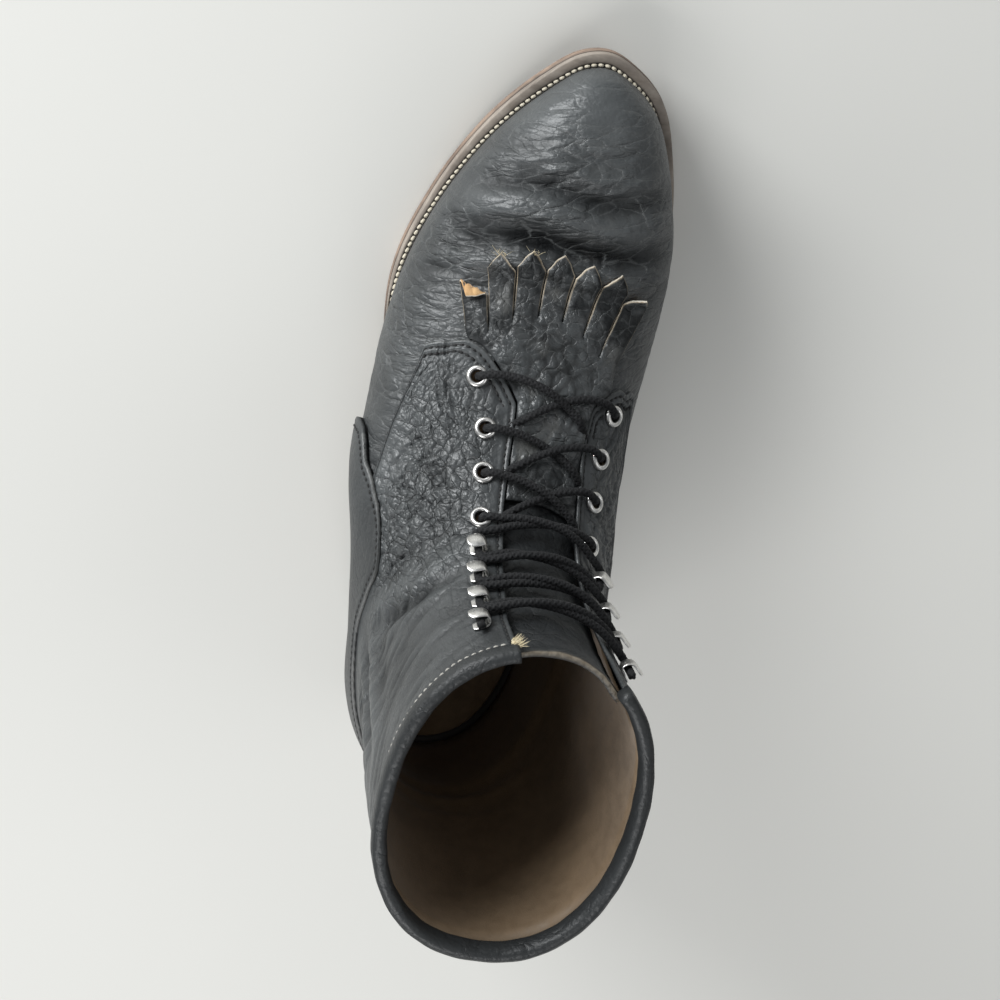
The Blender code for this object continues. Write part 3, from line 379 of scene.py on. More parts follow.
# Lines of the upper in the form's own coordinates s and t
LACING = rows(
    "t centre gap eyelet",
    (0.455, -0.018, 0.070, 0.145), (0.545, -0.024, 0.071, 0.124), (0.612, -0.030, 0.078, 0.127),
    (0.680, -0.036, 0.086, 0.133), (0.735, -0.042, 0.094, 0.147), (0.790, -0.045, 0.103, 0.157),
    (0.845, -0.047, 0.113, 0.168), (0.900, -0.048, 0.125, 0.180))
LACING_SKEW = 0.010
EYELET_ROWS = 4
QUARTER_EDGE = rows(
    "outer inner t",
    (0.049, -0.095, 0.525), (0.073, -0.098, 0.490), (0.096, -0.119, 0.458), (0.144, -0.163, 0.397),
    (0.219, -0.232, 0.321), (0.262, -0.266, 0.271), (0.297, -0.298, 0.233), (0.323, -0.323, 0.316),
    (0.367, -0.367, 0.381), (0.412, -0.412, 0.420), (0.472, -0.472, 0.200), (0.502, -0.502, 0.117),
    (0.570, -0.570, 0.000))
FRONT_CORNERS = (6, 9)
COUNTER_EDGE = rows(
    "along t",
    (0.560, 0.000), (0.524, 0.050), (0.488, 0.117), (0.458, 0.200), (0.425, 0.330), (0.390, 0.450),
    (0.382, 0.540), (0.410, 0.592), (0.480, 0.575), (0.600, 0.520), (0.780, 0.470), (1.000, 0.450))


def lacing(name, t):
    return smooth(LACING["t"], LACING[name], np.clip(t, LACING["t"][0], LACING["t"][-1]))


def facing_edge(side, t):
    return lacing("centre", t) + side * lacing("gap", t)


def rounded(points, steps=8):
    """An open line through its points as one smooth curve."""
    p = np.asarray(points, float)
    run = run_of(p)
    way = np.gradient(p, run, axis=0)
    u = np.linspace(0, 1, steps, endpoint=False)[:, None]
    out = [cubic(p[i], p[i + 1], run[i + 1] - run[i], way[i], way[i + 1], u) for i in range(len(p) - 1)]
    return np.concatenate(out + [p[-1:]])


def seat_place(row, side):
    """(s, t) of an eyelet or hook; the outer side's stand a little higher up the boot."""
    return (LACING["centre"][row] + side * LACING["eyelet"][row],
            LACING["t"][row] + side * LACING_SKEW)


def quarter_front(side):
    """The quarter's front edge, from the throat to the feather, sharp at its two corners."""
    flat = to_flat(np.stack([QUARTER_EDGE["outer" if side > 0 else "inner"], QUARTER_EDGE["t"]], 1))
    one, two = FRONT_CORNERS
    runs = rounded(flat[:one + 1])[:-1], rounded(flat[one:two + 1])[:-1], rounded(flat[two:])
    return from_flat(np.concatenate(runs))


def ways_at(s, t, d):
    """How the upper's points move with s and with t."""
    return ((on_upper(s + d, t) - on_upper(s - d, t)) / (2 * d),
            (on_upper(s, t + d) - on_upper(s, t - d)) / (2 * d))


def local_move(s, t, across, up):
    """(s, t) of a point some millimetres across (to greater s) and up from a place on the upper."""
    way_s, way_t = ways_at(s, t, 1e-3)
    size_s = np.linalg.norm(way_s)
    skew = way_t @ way_s / size_s
    rise = np.linalg.norm(way_t - skew * way_s / size_s)
    return np.stack([s + (across - up / rise * skew) / size_s, t + up / rise], -1)


SHOE_MIDDLE = -4.0
ROUND_TOP = 180.0


def from_plan(x, y):
    """(s, t) of the point of the upper's top that lies over (x, y)."""
    x, y = np.asarray(x, float), np.asarray(y, float)
    s = (y - SHOE_MIDDLE) / ROUND_TOP
    t = np.interp(-x, -CROWN[::-1, 0], np.interp(CROWN[::-1, 1], RIDGE[:, 1], RIDGE_RUN) / RIDGE_LENGTH)
    for _ in range(40):
        here = on_upper(s, t)
        way_s, way_t = ways_at(s, t, 2e-3)
        det = way_s[..., 0] * way_t[..., 1] - way_s[..., 1] * way_t[..., 0]
        ex, ey = x - here[..., 0], y - here[..., 1]
        s = s + 0.5 * np.clip((ex * way_t[..., 1] - ey * way_t[..., 0]) / det, -0.1, 0.1)
        t = t + 0.5 * np.clip((ey * way_s[..., 0] - ex * way_s[..., 1]) / det, -0.1, 0.1)
    return np.stack([s, t], -1)


# Relief: soft troughs and ridges along listed lines, then wrinkles and grain

PLAN_CREASES = (
    ("flex_trough", 5.6, -3.5,
     ((228, 41), (231, 28), (234, 16), (235, 4), (234, -10), (235, -27), (238, -40))),
    ("flex_ridge", 6.5, 2.2, ((239, 35), (245, 20), (245, 4), (242, -9), (242, -24), (247, -38))),
    ("flex_behind", 4.5, 0.8, ((219, 46), (222, 26), (225, 5), (225, -15), (226, -42))),
    ("flex_second", 4.4, -1.8, ((247, 37), (251, 26), (254, 12), (252, -6), (253, -22), (258, -36))),
    ("flex_lip", 5.0, 0.9, ((256, 32), (260, 19), (261, 5), (259, -10), (261, -24), (266, -32))),
    ("vamp_1", 1.5, -0.6, ((246, 36), (250, 25), (254, 13), (261, 3), (266, -5))),
    ("vamp_2", 1.4, -0.55, ((257, 29), (259, 18), (264, 9), (268, -4), (271, -16), (276, -23))),
    ("vamp_3", 1.4, -0.55, ((254, 16), (259, 8), (257, -5), (260, -18), (257, -34))),
    ("vamp_4", 1.3, -0.45, ((256, -10), (263, -19), (268, -30))),
    ("vamp_5", 1.4, -0.5, ((249, 9), (252, -5), (256, -18), (260, -33))),
    ("vamp_6", 1.3, -0.4, ((265, 25), (269, 15), (274, 6), (277, -8))),
    ("vamp_7", 1.2, -0.3, ((277, 18), (285, 7), (287, -6))),
    ("side_1", 1.9, -0.8, ((220, 48), (223, 34), (225, 22))),
    ("side_2", 1.9, -0.7, ((205, 52), (212, 44), (214, 33))),
    ("side_3", 1.8, -0.7, ((229, 45), (234, 33), (238, 20), (239, 10))),
    ("side_4", 1.6, -0.5, ((214, 51), (222, 39), (229, 27))),
    ("inner_1", 1.8, -0.7, ((222, -47), (226, -36), (229, -24))),
    ("inner_2", 1.7, -0.6, ((248, -41), (246, -30), (243, -20))),
)
SHAFT_CREASES = (
    ("ankle_ridge", 5.0, 1.1, ((0.44, 0.655), (0.34, 0.69), (0.254, 0.725), (0.16, 0.735))),
    ("ankle_fold", 3.8, -1.8, ((0.47, 0.665), (0.38, 0.72), (0.27, 0.762), (0.17, 0.775))),
    ("ankle_low", 2.2, -0.7, ((0.38, 0.60), (0.30, 0.655), (0.22, 0.685))),
    ("shaft_1", 4.5, -1.7, ((0.546, 0.60), (0.529, 0.753), (0.546, 0.872))),
    ("shaft_2", 5.0, 1.3, ((0.49, 0.65), (0.48, 0.77), (0.50, 0.89))),
    ("shaft_3", 3.6, -1.2, ((0.62, 0.62), (0.61, 0.74), (0.63, 0.84))),
    ("inner_ankle", 3.4, -1.2, ((-0.47, 0.655), (-0.38, 0.71), (-0.29, 0.745), (-0.24, 0.75))),
    ("inner_ridge", 5.0, 0.9, ((-0.45, 0.63), (-0.36, 0.67), (-0.28, 0.70))),
    ("inner_low", 2.0, -0.6, ((-0.34, 0.50), (-0.29, 0.57), (-0.25, 0.64))),
    ("inner_shaft", 4.0, -0.9, ((-0.56, 0.61), (-0.54, 0.75), (-0.57, 0.88))),
    ("back_fold_1", 4.0, -1.1, ((0.76, 0.585), (0.9, 0.575), (1.0, 0.57), (1.1, 0.575), (1.22, 0.59))),
    ("back_fold_2", 4.0, 0.8, ((0.78, 0.63), (0.9, 0.62), (1.0, 0.615), (1.1, 0.62), (1.2, 0.635))),
    ("back_fold_3", 3.2, -0.7, ((0.82, 0.67), (0.92, 0.66), (1.0, 0.655), (1.1, 0.662), (1.18, 0.675))),
)


QUARTER_LINES = rows(
    "start start_t end end_t bow",
    (0.234, 0.280, 0.164, 0.533, 2.0), (0.244, 0.300, 0.148, 0.560, 1.5), (0.257, 0.330, 0.145, 0.603, 2.5),
    (0.284, 0.400, 0.126, 0.668, -1.5), (0.315, 0.410, 0.157, 0.664, 2.0),
    (0.342, 0.430, 0.210, 0.630, -2.0),
    (0.381, 0.440, 0.190, 0.683, 1.5), (0.385, 0.488, 0.262, 0.645, -1.0), (0.390, 0.546, 0.317, 0.639, 1.0),
    (0.321, 0.474, 0.230, 0.504, 2.0), (0.337, 0.508, 0.202, 0.537, -2.0), (0.370, 0.526, 0.162, 0.582, 2.5),
    (0.379, 0.564, 0.165, 0.611, -2.0), (0.389, 0.601, 0.173, 0.637, 2.0),
    (0.397, 0.627, 0.176, 0.666, -1.5),
    (0.434, 0.625, 0.239, 0.675, 1.5))
LINE_WIDTH = 0.8
LINE_DEEP = {1: -0.75, -1: -0.55}
LINE_WAVE = {"size": 0.8, "turns": 2.5}


def quarter_lines():
    """Long lines from the front corner towards the facing and the shorter ones that cross them."""
    u = np.linspace(0, 1, 22)
    out = []
    for k, (s0, t0, s1, t1, bow) in enumerate(zip(*QUARTER_LINES.values())):
        ends = to_flat(np.array([[s0, t0], [s1, t1]]))
        way = (ends[1] - ends[0]) / np.linalg.norm(ends[1] - ends[0])
        wave = LINE_WAVE["size"] * np.sin(2 * np.pi * LINE_WAVE["turns"] * u + 1.7 * k) * np.sin(np.pi * u)
        off = bow * np.sin(np.pi * u) + wave
        st = from_flat(ends[0] + (ends[1] - ends[0]) * u[:, None] + off[:, None] * [-way[1], way[0]])
        out += [(LINE_WIDTH, LINE_DEEP[side], on_upper(side * st[:, 0], st[:, 1])) for side in (1, -1)]
    return out


def crease_lines():
    out = []
    top = GRID[NORMAL[..., 2] > 0.12]
    for _, width, depth, points in PLAN_CREASES:
        p = rounded(np.array(points, float), 6)
        apart = np.linalg.norm(top[None, :, :2] - p[:, None], axis=2)
        out.append((width, depth, top[apart.argmin(1)]))
    for _, width, depth, points in SHAFT_CREASES:
        st = rounded(np.array(points, float), 6)
        out.append((width, depth, placed(st)))
    return out


CREASE_LINES = crease_lines()
WRINKLE_LINES = quarter_lines()


def creases(p, lines=CREASE_LINES + WRINKLE_LINES):
    """Height of the listed creases at points of the upper; a trough has low shoulders."""
    total = np.zeros(len(p))
    for width, depth, line in lines:
        reach = 3.2 * width
        near = np.where(((p > line.min(0) - reach) & (p < line.max(0) + reach)).all(1))[0]
        if not len(near):
            continue
        q = p[near][:, None]
        a, b = line[None, :-1], line[None, 1:]
        u = np.clip(((q - a) * (b - a)).sum(-1) / ((b - a) ** 2).sum(-1), 0, 1)
        d = np.linalg.norm(q - a - (b - a) * u[..., None], axis=-1)
        pick = d.argmin(1)
        rank = np.arange(len(near))
        along = (pick + u[rank, pick]) / (len(line) - 1)
        d = d[rank, pick] / width
        fade = 0.25 + 0.75 * np.sin(np.pi * np.clip(along, 0, 1)) ** 0.7
        shape = np.exp(-d * d) - 0.4 * np.exp(-((d - 1.8) / 0.8) ** 2)
        total[near] += depth * fade * shape
    return np.clip(total, -3.6, 2.6)


def chance(i, j, k, seed):
    v = np.sin(i * 127.1 + j * 311.7 + k * 74.7 + seed * 53.3) * 43758.5453
    return v - np.floor(v)


def lumps(p, seed):
    """Smooth noise from -1 to 1, one lump to a unit."""
    base = np.floor(p)
    f = p - base
    f = f * f * (3 - 2 * f)
    total = 0.0
    for i in (0, 1):
        for j in (0, 1):
            for k in (0, 1):
                weight = np.prod(np.where(np.array([i, j, k]), f, 1 - f), axis=1)
                total = total + weight * chance(base[:, 0] + i, base[:, 1] + j, base[:, 2] + k, seed)
    return 2 * total - 1


def cells(q, seed):
    """Distance to the nearest of random spots, one to a unit square, and how much farther the next is."""
    base = np.floor(q)
    first = np.full(len(q), 9.0)
    second = first.copy()
    for i in (-1, 0, 1):
        for j in (-1, 0, 1):
            cell = base + (i, j)
            spot = cell + 0.1 + 0.8 * np.stack([chance(cell[:, 0], cell[:, 1], m, seed) for m in (0, 1)], 1)
            d = np.linalg.norm(q - spot, axis=1)
            second = np.where(d < first, first, np.minimum(second, d))
            first = np.minimum(first, d)
    return first, second - first


def patchy(p, size, seed):
    return np.clip(0.55 + 0.95 * lumps(p / size, seed), 0, 1)


def hide_grain(p, along, across, grain, seed):
    """Relief and lines of a hide: domes of a size along and across, some lines between them left out."""
    warp = [grain["warp"] * lumps(p / grain["swing"], seed + m) for m in (1, 2)]
    q = np.stack([(along + warp[0]) / grain["along"], (across + warp[1]) / grain["across"]], 1)
    first, gap = cells(q, seed)
    shown = patchy(p, grain["swing"], seed + 3)
    line = np.exp(-(gap / 0.3) ** 2) * shown
    fine = np.exp(-(cells(2.1 * q, seed + 4)[1] / 0.34) ** 2) * patchy(p, grain["swing"], seed + 5)
    domes = grain["dome"] * np.clip(first, 0, 1.1) ** 2
    return -domes - grain["deep"] * line - 0.3 * grain["deep"] * fine, np.exp(-(gap / 0.13) ** 2) * shown


VAMP_GRAIN = {"along": 5.2, "across": 15.0, "warp": 3.2, "swing": 15.0, "dome": 0.18, "deep": 0.22}
SHAFT_GRAIN = {"along": 5.6, "across": 9.0, "warp": 3.0, "swing": 12.0, "dome": 0.32, "deep": 0.24}
FLAP_GRAIN = {"along": 6.0, "across": 6.6, "warp": 2.4, "swing": 10.0, "dome": 0.60, "deep": 0.40}
VAMP_GIRTH = 150.0
SHAFT_LEAN = 0.40


def vamp_zone(p):
    """Where the vamp is wrinkled: little at the toe's end and down the sides."""
    return (0.45 + 0.55 * ease(292, 262, p[:, 0])) * (0.35 + 0.65 * ease(14, 40, p[:, 2]))


def vamp_relief(p, s):
    """Long lenses across the vamp, deepest behind the toe."""
    relief, line = hide_grain(p, p[:, 0], VAMP_GIRTH * s, VAMP_GRAIN, 11)
    return (relief + 0.22 * lumps(p / 11.0, 9)) * vamp_zone(p) + 0.35 * lumps(p / 22.0, 8), line


def tone(form, grain):
    """Lightness painted from the relief: painted shade in the creases and hollows, painted highlight on the
    ridges.
    """
    return np.clip(0.56 + 0.18 * form + 0.55 * (grain + 0.2), 0, 1)


def shaft_form(p):
    return creases(p) + 0.6 * lumps(p / 30.0, 17)


def wrinkled(s, t):
    """Where a quarter is wrinkled: between the front seam and the eyelets, up to the ankle."""
    s = np.abs(wrapped(s))
    return ease(0.50, 0.40, s) * ease(0.79, 0.69, t)


def shaft_lines(p, s, t):
    """Cells lie along lines from the front corner towards the facing; smoother up the shaft."""
    u, v = to_flat(np.stack([np.abs(wrapped(s)), t], 1)).T
    relief = hide_grain(p, u + SHAFT_LEAN * v, v - SHAFT_LEAN * u, SHAFT_GRAIN, 31)[0]
    folds = lumps(np.stack([(u + 0.5 * v) / 13.0, (v - 0.25 * u) / 2.6, 0 * u], 1), 37)
    return ((relief + 0.3 * lumps(p / 8.0, 27)) * (0.16 + 0.84 * wrinkled(s, t))
            + 0.38 * folds * ease(0.58, 0.68, t))


# Mesh building

def chain(points, spacing, closed=True):
    """Points about evenly spaced along a line of the flat chart, its corners kept."""
    points = np.asarray(points, float)
    ends = np.roll(points, -1, 0) if closed else points[1:]
    out = []
    for a, b in zip(points, ends):
        n = max(1, int(round(np.linalg.norm(b - a) / spacing)))
        out.append(a + (b - a) * np.linspace(0, 1, n, endpoint=False)[:, None])
    if not closed:
        out.append(points[-1:])
    return np.concatenate(out)


def nearest(points, loops):
    """Distance of each point to the nearest point of the loops."""
    marks = np.concatenate(loops)
    tree = KDTree(len(marks))
    for i, m in enumerate(marks):
        tree.insert((m[0], m[1], 0.0), i)
    tree.balance()
    return np.array([tree.find((p[0], p[1], 0.0))[2] for p in points])


def lattice(loops, spacing):
    """Even points inside the first loop and outside the others."""
    low, high = loops[0].min(0), loops[0].max(0)
    a = np.concatenate(loops)
    b = np.concatenate([np.roll(loop, -1, 0) for loop in loops])
    out = []
    for k, v in enumerate(np.arange(low[1] + 0.37 * spacing, high[1], spacing * 0.866)):
        u = np.arange(low[0] + (0.5 if k % 2 else 0.0) * spacing, high[0], spacing)
        hit = (a[:, 1] > v) != (b[:, 1] > v)
        cross = a[hit, 0] + (b[hit, 0] - a[hit, 0]) * (v - a[hit, 1]) / (b[hit, 1] - a[hit, 1])
        u = u[np.searchsorted(np.sort(cross), u) % 2 == 1]
        out.append(level_rows(u, v))
    return np.concatenate(out)


def inside(points, loops):
    """Whether points lie inside the first loop and outside the others."""
    a = np.concatenate(loops)
    b = np.concatenate([np.roll(loop, -1, 0) for loop in loops])
    rise = np.where(a[:, 1] == b[:, 1], 1.0, b[:, 1] - a[:, 1])
    odd = []
    for part in np.array_split(points, max(1, len(points) // 2000)):
        u, v = part[:, :1], part[:, 1:]
        hit = ((a[:, 1] > v) != (b[:, 1] > v)) & (u < a[:, 0] + (b[:, 0] - a[:, 0]) * (v - a[:, 1]) / rise)
        odd.append(hit.sum(1) % 2 == 1)
    return np.concatenate(odd)


def fill(loops, extra, inside_points):
    """Triangles inside the first loop, without the holes; counter-clockwise."""
    points, edges, at = [], [], 0
    for loop in loops:
        points.append(loop)
        edges += [(at + i, at + (i + 1) % len(loop)) for i in range(len(loop))]
        at += len(loop)
    points += extra + [inside_points]
    verts = [Vector(p) for p in np.concatenate(points)]
    out = delaunay_2d_cdt(verts, edges, [], 0, 1e-5, True)
    flat = np.array([tuple(v) for v in out[0]])
    tris = np.array([f for f in out[2] if len(f) == 3])
    rim = np.array([min(source, default=at) < at for source in out[3]])
    doubt = np.where(rim[tris].all(1))[0]
    drop = doubt[~inside(flat[tris[doubt]].mean(1), loops)]
    tris = np.delete(tris, drop, axis=0)
    a, b, c = (flat[tris[:, k]] for k in range(3))
    turn = (b[:, 0] - a[:, 0]) * (c[:, 1] - a[:, 1]) - (b[:, 1] - a[:, 1]) * (c[:, 0] - a[:, 0])
    tris = np.where((turn > 0)[:, None], tris, tris[:, ::-1])
    return flat, tris[np.abs(turn) > 1e-8]


def border_edges(tris, count):
    sides = np.concatenate([tris[:, [0, 1]], tris[:, [1, 2]], tris[:, [2, 0]]])
    key, back = sides[:, 0] * count + sides[:, 1], sides[:, 1] * count + sides[:, 0]
    return sides[~np.isin(key, back)]


def panel(loops, spacing, coarse=6.0, rim=(0.3, 0.8)):
    """Fine top and coarse underside of a piece with the same border, on the flat chart."""
    loops = [np.asarray(loop, float) for loop in loops]
    dense = [chain(loop, 0.3) for loop in loops]
    grown = [chain(loop, spacing) for loop in loops]
    rings = []
    for ring, sign in zip(grown, [1] + [-1] * (len(grown) - 1)):
        area = np.sum(ring[:, 0] * np.roll(ring[:, 1], -1) - np.roll(ring[:, 0], -1) * ring[:, 1])
        for d in rim:
            moved = inset_loop(ring, np.full(len(ring), d * sign * (-1 if area > 0 else 1)))
            rings.append(moved[nearest(moved, dense) > 0.85 * d])
    inner = lattice(grown, spacing)
    inner = inner[nearest(inner, dense) > max(rim, default=0) + 0.55 * spacing]
    top, top_tris = fill(grown, rings, inner)
    under = lattice(grown, coarse)
    under = under[nearest(under, dense) > 0.4 * coarse]
    low, low_tris = fill(grown, [], under)
    place = {(round(u, 3), round(v, 3)): i for i, (u, v) in enumerate(low)}
    walls = [(a, b, place.get(tuple(np.round(top[a], 3))), place.get(tuple(np.round(top[b], 3))))
             for a, b in border_edges(top_tris, len(top))]
    return {"top": top, "top_tris": top_tris, "low": low, "low_tris": low_tris, "walls": walls,
            "edge": nearest(top, dense)}


def closed(sheet, top_xyz, low_xyz):
    """Vertices and faces of the closed piece; walls come last."""
    n = len(top_xyz)
    faces = [tuple(map(int, f)) for f in sheet["top_tris"]]
    faces += [(int(f[2]) + n, int(f[1]) + n, int(f[0]) + n) for f in sheet["low_tris"]]
    walls = [(int(b), int(a), int(c) + n, int(d) + n) for a, b, c, d in sheet["walls"]
             if c is not None and d is not None]
    return np.concatenate([top_xyz, low_xyz]), faces + walls, len(walls)


def tube(rings, around, start=0):
    """Faces between rings of points that follow each other."""
    return [(start + i * around + j, start + i * around + (j + 1) % around,
             start + (i + 1) * around + (j + 1) % around, start + (i + 1) * around + j)
            for i in range(rings - 1) for j in range(around)]


def end_caps(rings, around, start=0):
    last = start + (rings - 1) * around
    return [tuple(range(start, start + around))[::-1], tuple(range(last, last + around))]


def piece(name, verts, faces, materials, slot, nodes=(), marks=None, paint=None):
    """One object that rides on the boot; marks are values for its points, paint a material for each face."""
    mesh = bpy.data.meshes.new(name)
    mesh.from_pydata(metres(verts).tolist(), [], faces)
    mesh.validate()
    for m in materials:
        mesh.materials.append(m)
    mesh.polygons.foreach_set("use_smooth", [True] * len(mesh.polygons))
    if paint is not None:
        mesh.polygons.foreach_set("material_index", np.asarray(paint, np.int32))
    for mark, values in (marks or {}).items():
        layer = mesh.attributes.new(mark, "FLOAT", "POINT")
        layer.data.foreach_set("value", np.asarray(values, np.float32))
    mesh.update()
    made = bpy.data.objects.new(name, mesh)
    bpy.context.scene.collection.objects.link(made)
    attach(made, "root")
    if nodes:
        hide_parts(*nodes)
    return made


def roundness(edge, radius):
    return np.sqrt(np.clip(1 - (1 - np.clip(edge / radius, 0, 1)) ** 2, 0, 1))


# Materials

class Nodes:
    """Short way to write a material's node tree."""

    def __init__(self, name):
        self.material = bpy.data.materials.new(name)
        self.material.use_nodes = True
        self.tree = self.material.node_tree
        self.shader = self.tree.nodes["Principled BSDF"]
        self.position = self.tree.nodes.new("ShaderNodeTexCoord").outputs["Object"]

    def add(self, kind, values=None, **settings):
        node = self.tree.nodes.new("ShaderNode" + kind)
        for key, value in settings.items():
            setattr(node, key, value)
        for key, value in (values or {}).items():
            socket = node.inputs[key]
            if isinstance(value, bpy.types.NodeSocket):
                self.tree.links.new(value, socket)
            else:
                socket.default_value = value
        return node

    def stretch(self, scale, vector=None):
        return self.add("Mapping", {"Vector": vector or self.position, "Scale": scale}).outputs["Vector"]

    def noise(self, scale, detail=2.0, rough=0.5, vector=None):
        values = {"Vector": vector or self.position, "Scale": scale, "Detail": detail, "Roughness": rough}
        return self.add("TexNoise", values).outputs["Fac"]

    def warped(self, vector, scale, amount):
        swirl = self.add("TexNoise", {"Vector": vector, "Scale": scale, "Detail": 2.0}).outputs["Color"]
        shift = self.add("VectorMath", {0: swirl, 1: (0.5, 0.5, 0.5)}, operation="SUBTRACT").outputs[0]
        shift = self.add("VectorMath", {0: shift, "Scale": amount}, operation="SCALE").outputs[0]
        return self.add("VectorMath", {0: vector, 1: shift}, operation="ADD").outputs[0]

    def range(self, value, low, high, to_low, to_high, kind="LINEAR"):
        values = {"Value": value, "From Min": low, "From Max": high, "To Min": to_low, "To Max": to_high}
        return self.add("MapRange", values, interpolation_type=kind).outputs["Result"]

    def math(self, operation, a, b):
        return self.add("Math", {0: a, 1: b}, operation=operation).outputs[0]

    def mix(self, factor, a, b):
        node = self.add("Mix", {0: factor, 6: a, 7: b}, data_type="RGBA")
        return node.outputs[2]

    def mark(self, name):
        return self.add("Attribute", attribute_name=name).outputs["Fac"]

    def bump(self, height, distance, strength, under=None):
        values = {"Height": height, "Distance": distance, "Strength": strength}
        if under is not None:
            values["Normal"] = under
        return self.add("Bump", values).outputs["Normal"]

    def link(self, socket, value):
        self.tree.links.new(value, self.shader.inputs[socket])

    def set(self, **values):
        for key, value in values.items():
            self.shader.inputs[key.replace("_", " ")].default_value = value
        return self


def rgb(r, g, b):
    return (r, g, b, 1.0)


TAN = rgb(0.46, 0.36, 0.24)
TAN_PALE = rgb(0.66, 0.56, 0.42)


HIDE_DARK = rgb(0.0035, 0.004, 0.0045)
HIDE_PALE = rgb(0.066, 0.071, 0.073)
HIDE_WEAR_AND_HIGHLIGHT = rgb(0.20, 0.20, 0.19)


def leather(name, rough, net, line_tone, turn=0.0):
    """Black grained hide between two tones: puffed cells of a size in metres with thin lines between them.

    Marks on its points: tone (lightness: painted shade in hollows and creases, painted highlight on ridges),
    net (how much of the cells shows), the greyer mark (wear, and painted highlight along the vamp's grain
    lines) and raw (bare hide)."""
    m = Nodes(name)
    turned = m.add("Mapping", {"Vector": m.position, "Rotation": (0.0, 0.0, turn)}).outputs["Vector"]
    place = m.warped(m.warped(m.stretch([1.0 / size for size in net], turned), 0.7, 0.7), 2.6, 0.2)
    shown = m.math("MULTIPLY", m.mark("net"), m.range(m.noise(48.0, 2.0), 0.34, 0.56, 0.3, 1.0))
    coarse, fine = (
        m.add("TexVoronoi", {"Vector": place, "Scale": scale},
              feature="DISTANCE_TO_EDGE").outputs["Distance"]
        for scale in (1.0, 2.2))
    puffs = [m.math("MULTIPLY", m.math("POWER", m.range(edge, 0.0, 0.4, 0.0, 1.0), 0.5), shown)
             for edge in (coarse, fine)]
    line = m.math("MULTIPLY", m.range(coarse, 0.0, 0.05, 1.0, 0.0, "SMOOTHSTEP"), shown)
    spots = {"Vector": m.warped(m.position, 500.0, 0.001), "Scale": 650.0, "Smoothness": 0.6}
    pebbles = m.add("TexVoronoi", spots, feature="SMOOTH_F1").outputs["Distance"]
    pores = m.noise(1900.0, 3.0, 0.6)
    cloud = m.noise(26.0, 3.0, 0.55)
    # lightness from the tone mark: painted shade in hollows and creases, painted highlight on ridges
    shade = m.math("MULTIPLY", m.mark("tone"), m.range(cloud, 0.3, 0.7, 0.7, 1.1))
    base = m.mix(shade, HIDE_DARK, HIDE_PALE)
    base = m.mix(m.math("MULTIPLY", line, 0.5), base, rgb(*line_tone))
    # greyer mark: wear, and painted highlight along the vamp's grain lines
    base = m.mix(m.mark("worn"), base, HIDE_WEAR_AND_HIGHLIGHT)
    hide = m.mix(m.range(m.noise(420.0, 3.0), 0.35, 0.65, 0.0, 1.0), TAN, TAN_PALE)
    m.link("Base Color", m.mix(m.mark("raw"), base, hide))
    shine = m.math("ADD", m.range(m.mark("tone"), 0.1, 0.8, rough + 0.16, rough - 0.04),
                   m.range(pores, 0.3, 0.7, -0.06, 0.06))
    m.link("Roughness", m.math("ADD", shine, m.math("MULTIPLY", m.mark("raw"), 0.4)))
    m.link("Specular IOR Level", m.range(m.mark("tone"), 0.05, 0.5, 0.12, 0.5))
    normal = m.bump(puffs[0], 0.0010, 1.0)
    normal = m.bump(puffs[1], 0.00035, 1.0, normal)
    normal = m.bump(pebbles, 0.00030, 0.5, normal)
    m.link("Normal", m.bump(pores, 0.00016, 0.5, normal))
    return m.material


def hide_lining(name, light, dark, rough=0.7):
    m = Nodes(name)
    cloud = m.noise(35.0, 4.0, 0.6)
    spots = m.noise(240.0, 3.0, 0.6)
    tone = m.math("ADD", m.math("MULTIPLY", cloud, 0.7), m.math("MULTIPLY", spots, 0.3))
    m.link("Base Color", m.mix(m.range(tone, 0.34, 0.66, 0.0, 1.0), dark, light))
    m.link("Roughness", m.range(spots, 0.3, 0.7, rough - 0.1, rough + 0.1))
    m.link("Normal", m.bump(m.noise(1500.0, 3.0, 0.6), 0.0002, 0.5))
    m.set(Sheen_Weight=0.15, Sheen_Roughness=0.5)
    return m.material


def sole_edge(name, low, high, streak):
    """Cut edge of leather: streaks along it, darker towards the top where it is still dyed."""
    m = Nodes(name)
    lines = m.noise(1.0, 4.0, 0.6, m.stretch((60.0, 60.0, 1500.0)))
    patch = m.noise(45.0, 4.0, 0.65)
    worn = m.mix(m.range(lines, 0.3, 0.7, 0.0, 1.0), low, high)
    grimy = m.mix(m.range(patch, 0.42, 0.66, 0.0, streak), worn, rgb(0.035, 0.028, 0.024))
    m.link("Base Color", m.mix(m.mark("dye_and_painted_shading"), grimy, rgb(0.014, 0.013, 0.013)))
    m.link("Roughness", m.range(patch, 0.3, 0.7, 0.5, 0.75))
    normal = m.bump(lines, 0.00025, 0.5)
    m.link("Normal", m.bump(m.noise(1100.0, 3.0, 0.6), 0.00015, 0.4, normal))
    return m.material


def rubber(name):
    m = Nodes(name)
    speck = m.noise(900.0, 3.0, 0.6)
    m.link("Base Color", m.mix(m.noise(50.0, 3.0, 0.6), rgb(0.013, 0.013, 0.013), rgb(0.05, 0.047, 0.044)))
    m.link("Roughness", m.range(speck, 0.3, 0.7, 0.7, 0.9))
    m.link("Normal", m.bump(speck, 0.0002, 0.5))
    return m.material


def nickel(name):
    m = Nodes(name)
    cloud = m.noise(700.0, 4.0, 0.6)
    dull = m.range(cloud, 0.35, 0.7, 0.0, 1.0)
    m.link("Base Color", m.mix(dull, rgb(0.80, 0.79, 0.77), rgb(0.60, 0.585, 0.56)))
    m.link("Roughness", m.range(cloud, 0.3, 0.7, 0.24, 0.40))
    m.link("Normal", m.bump(m.noise(1800.0, 2.0), 0.00005, 0.3))
    m.set(Metallic=1.0)
    return m.material


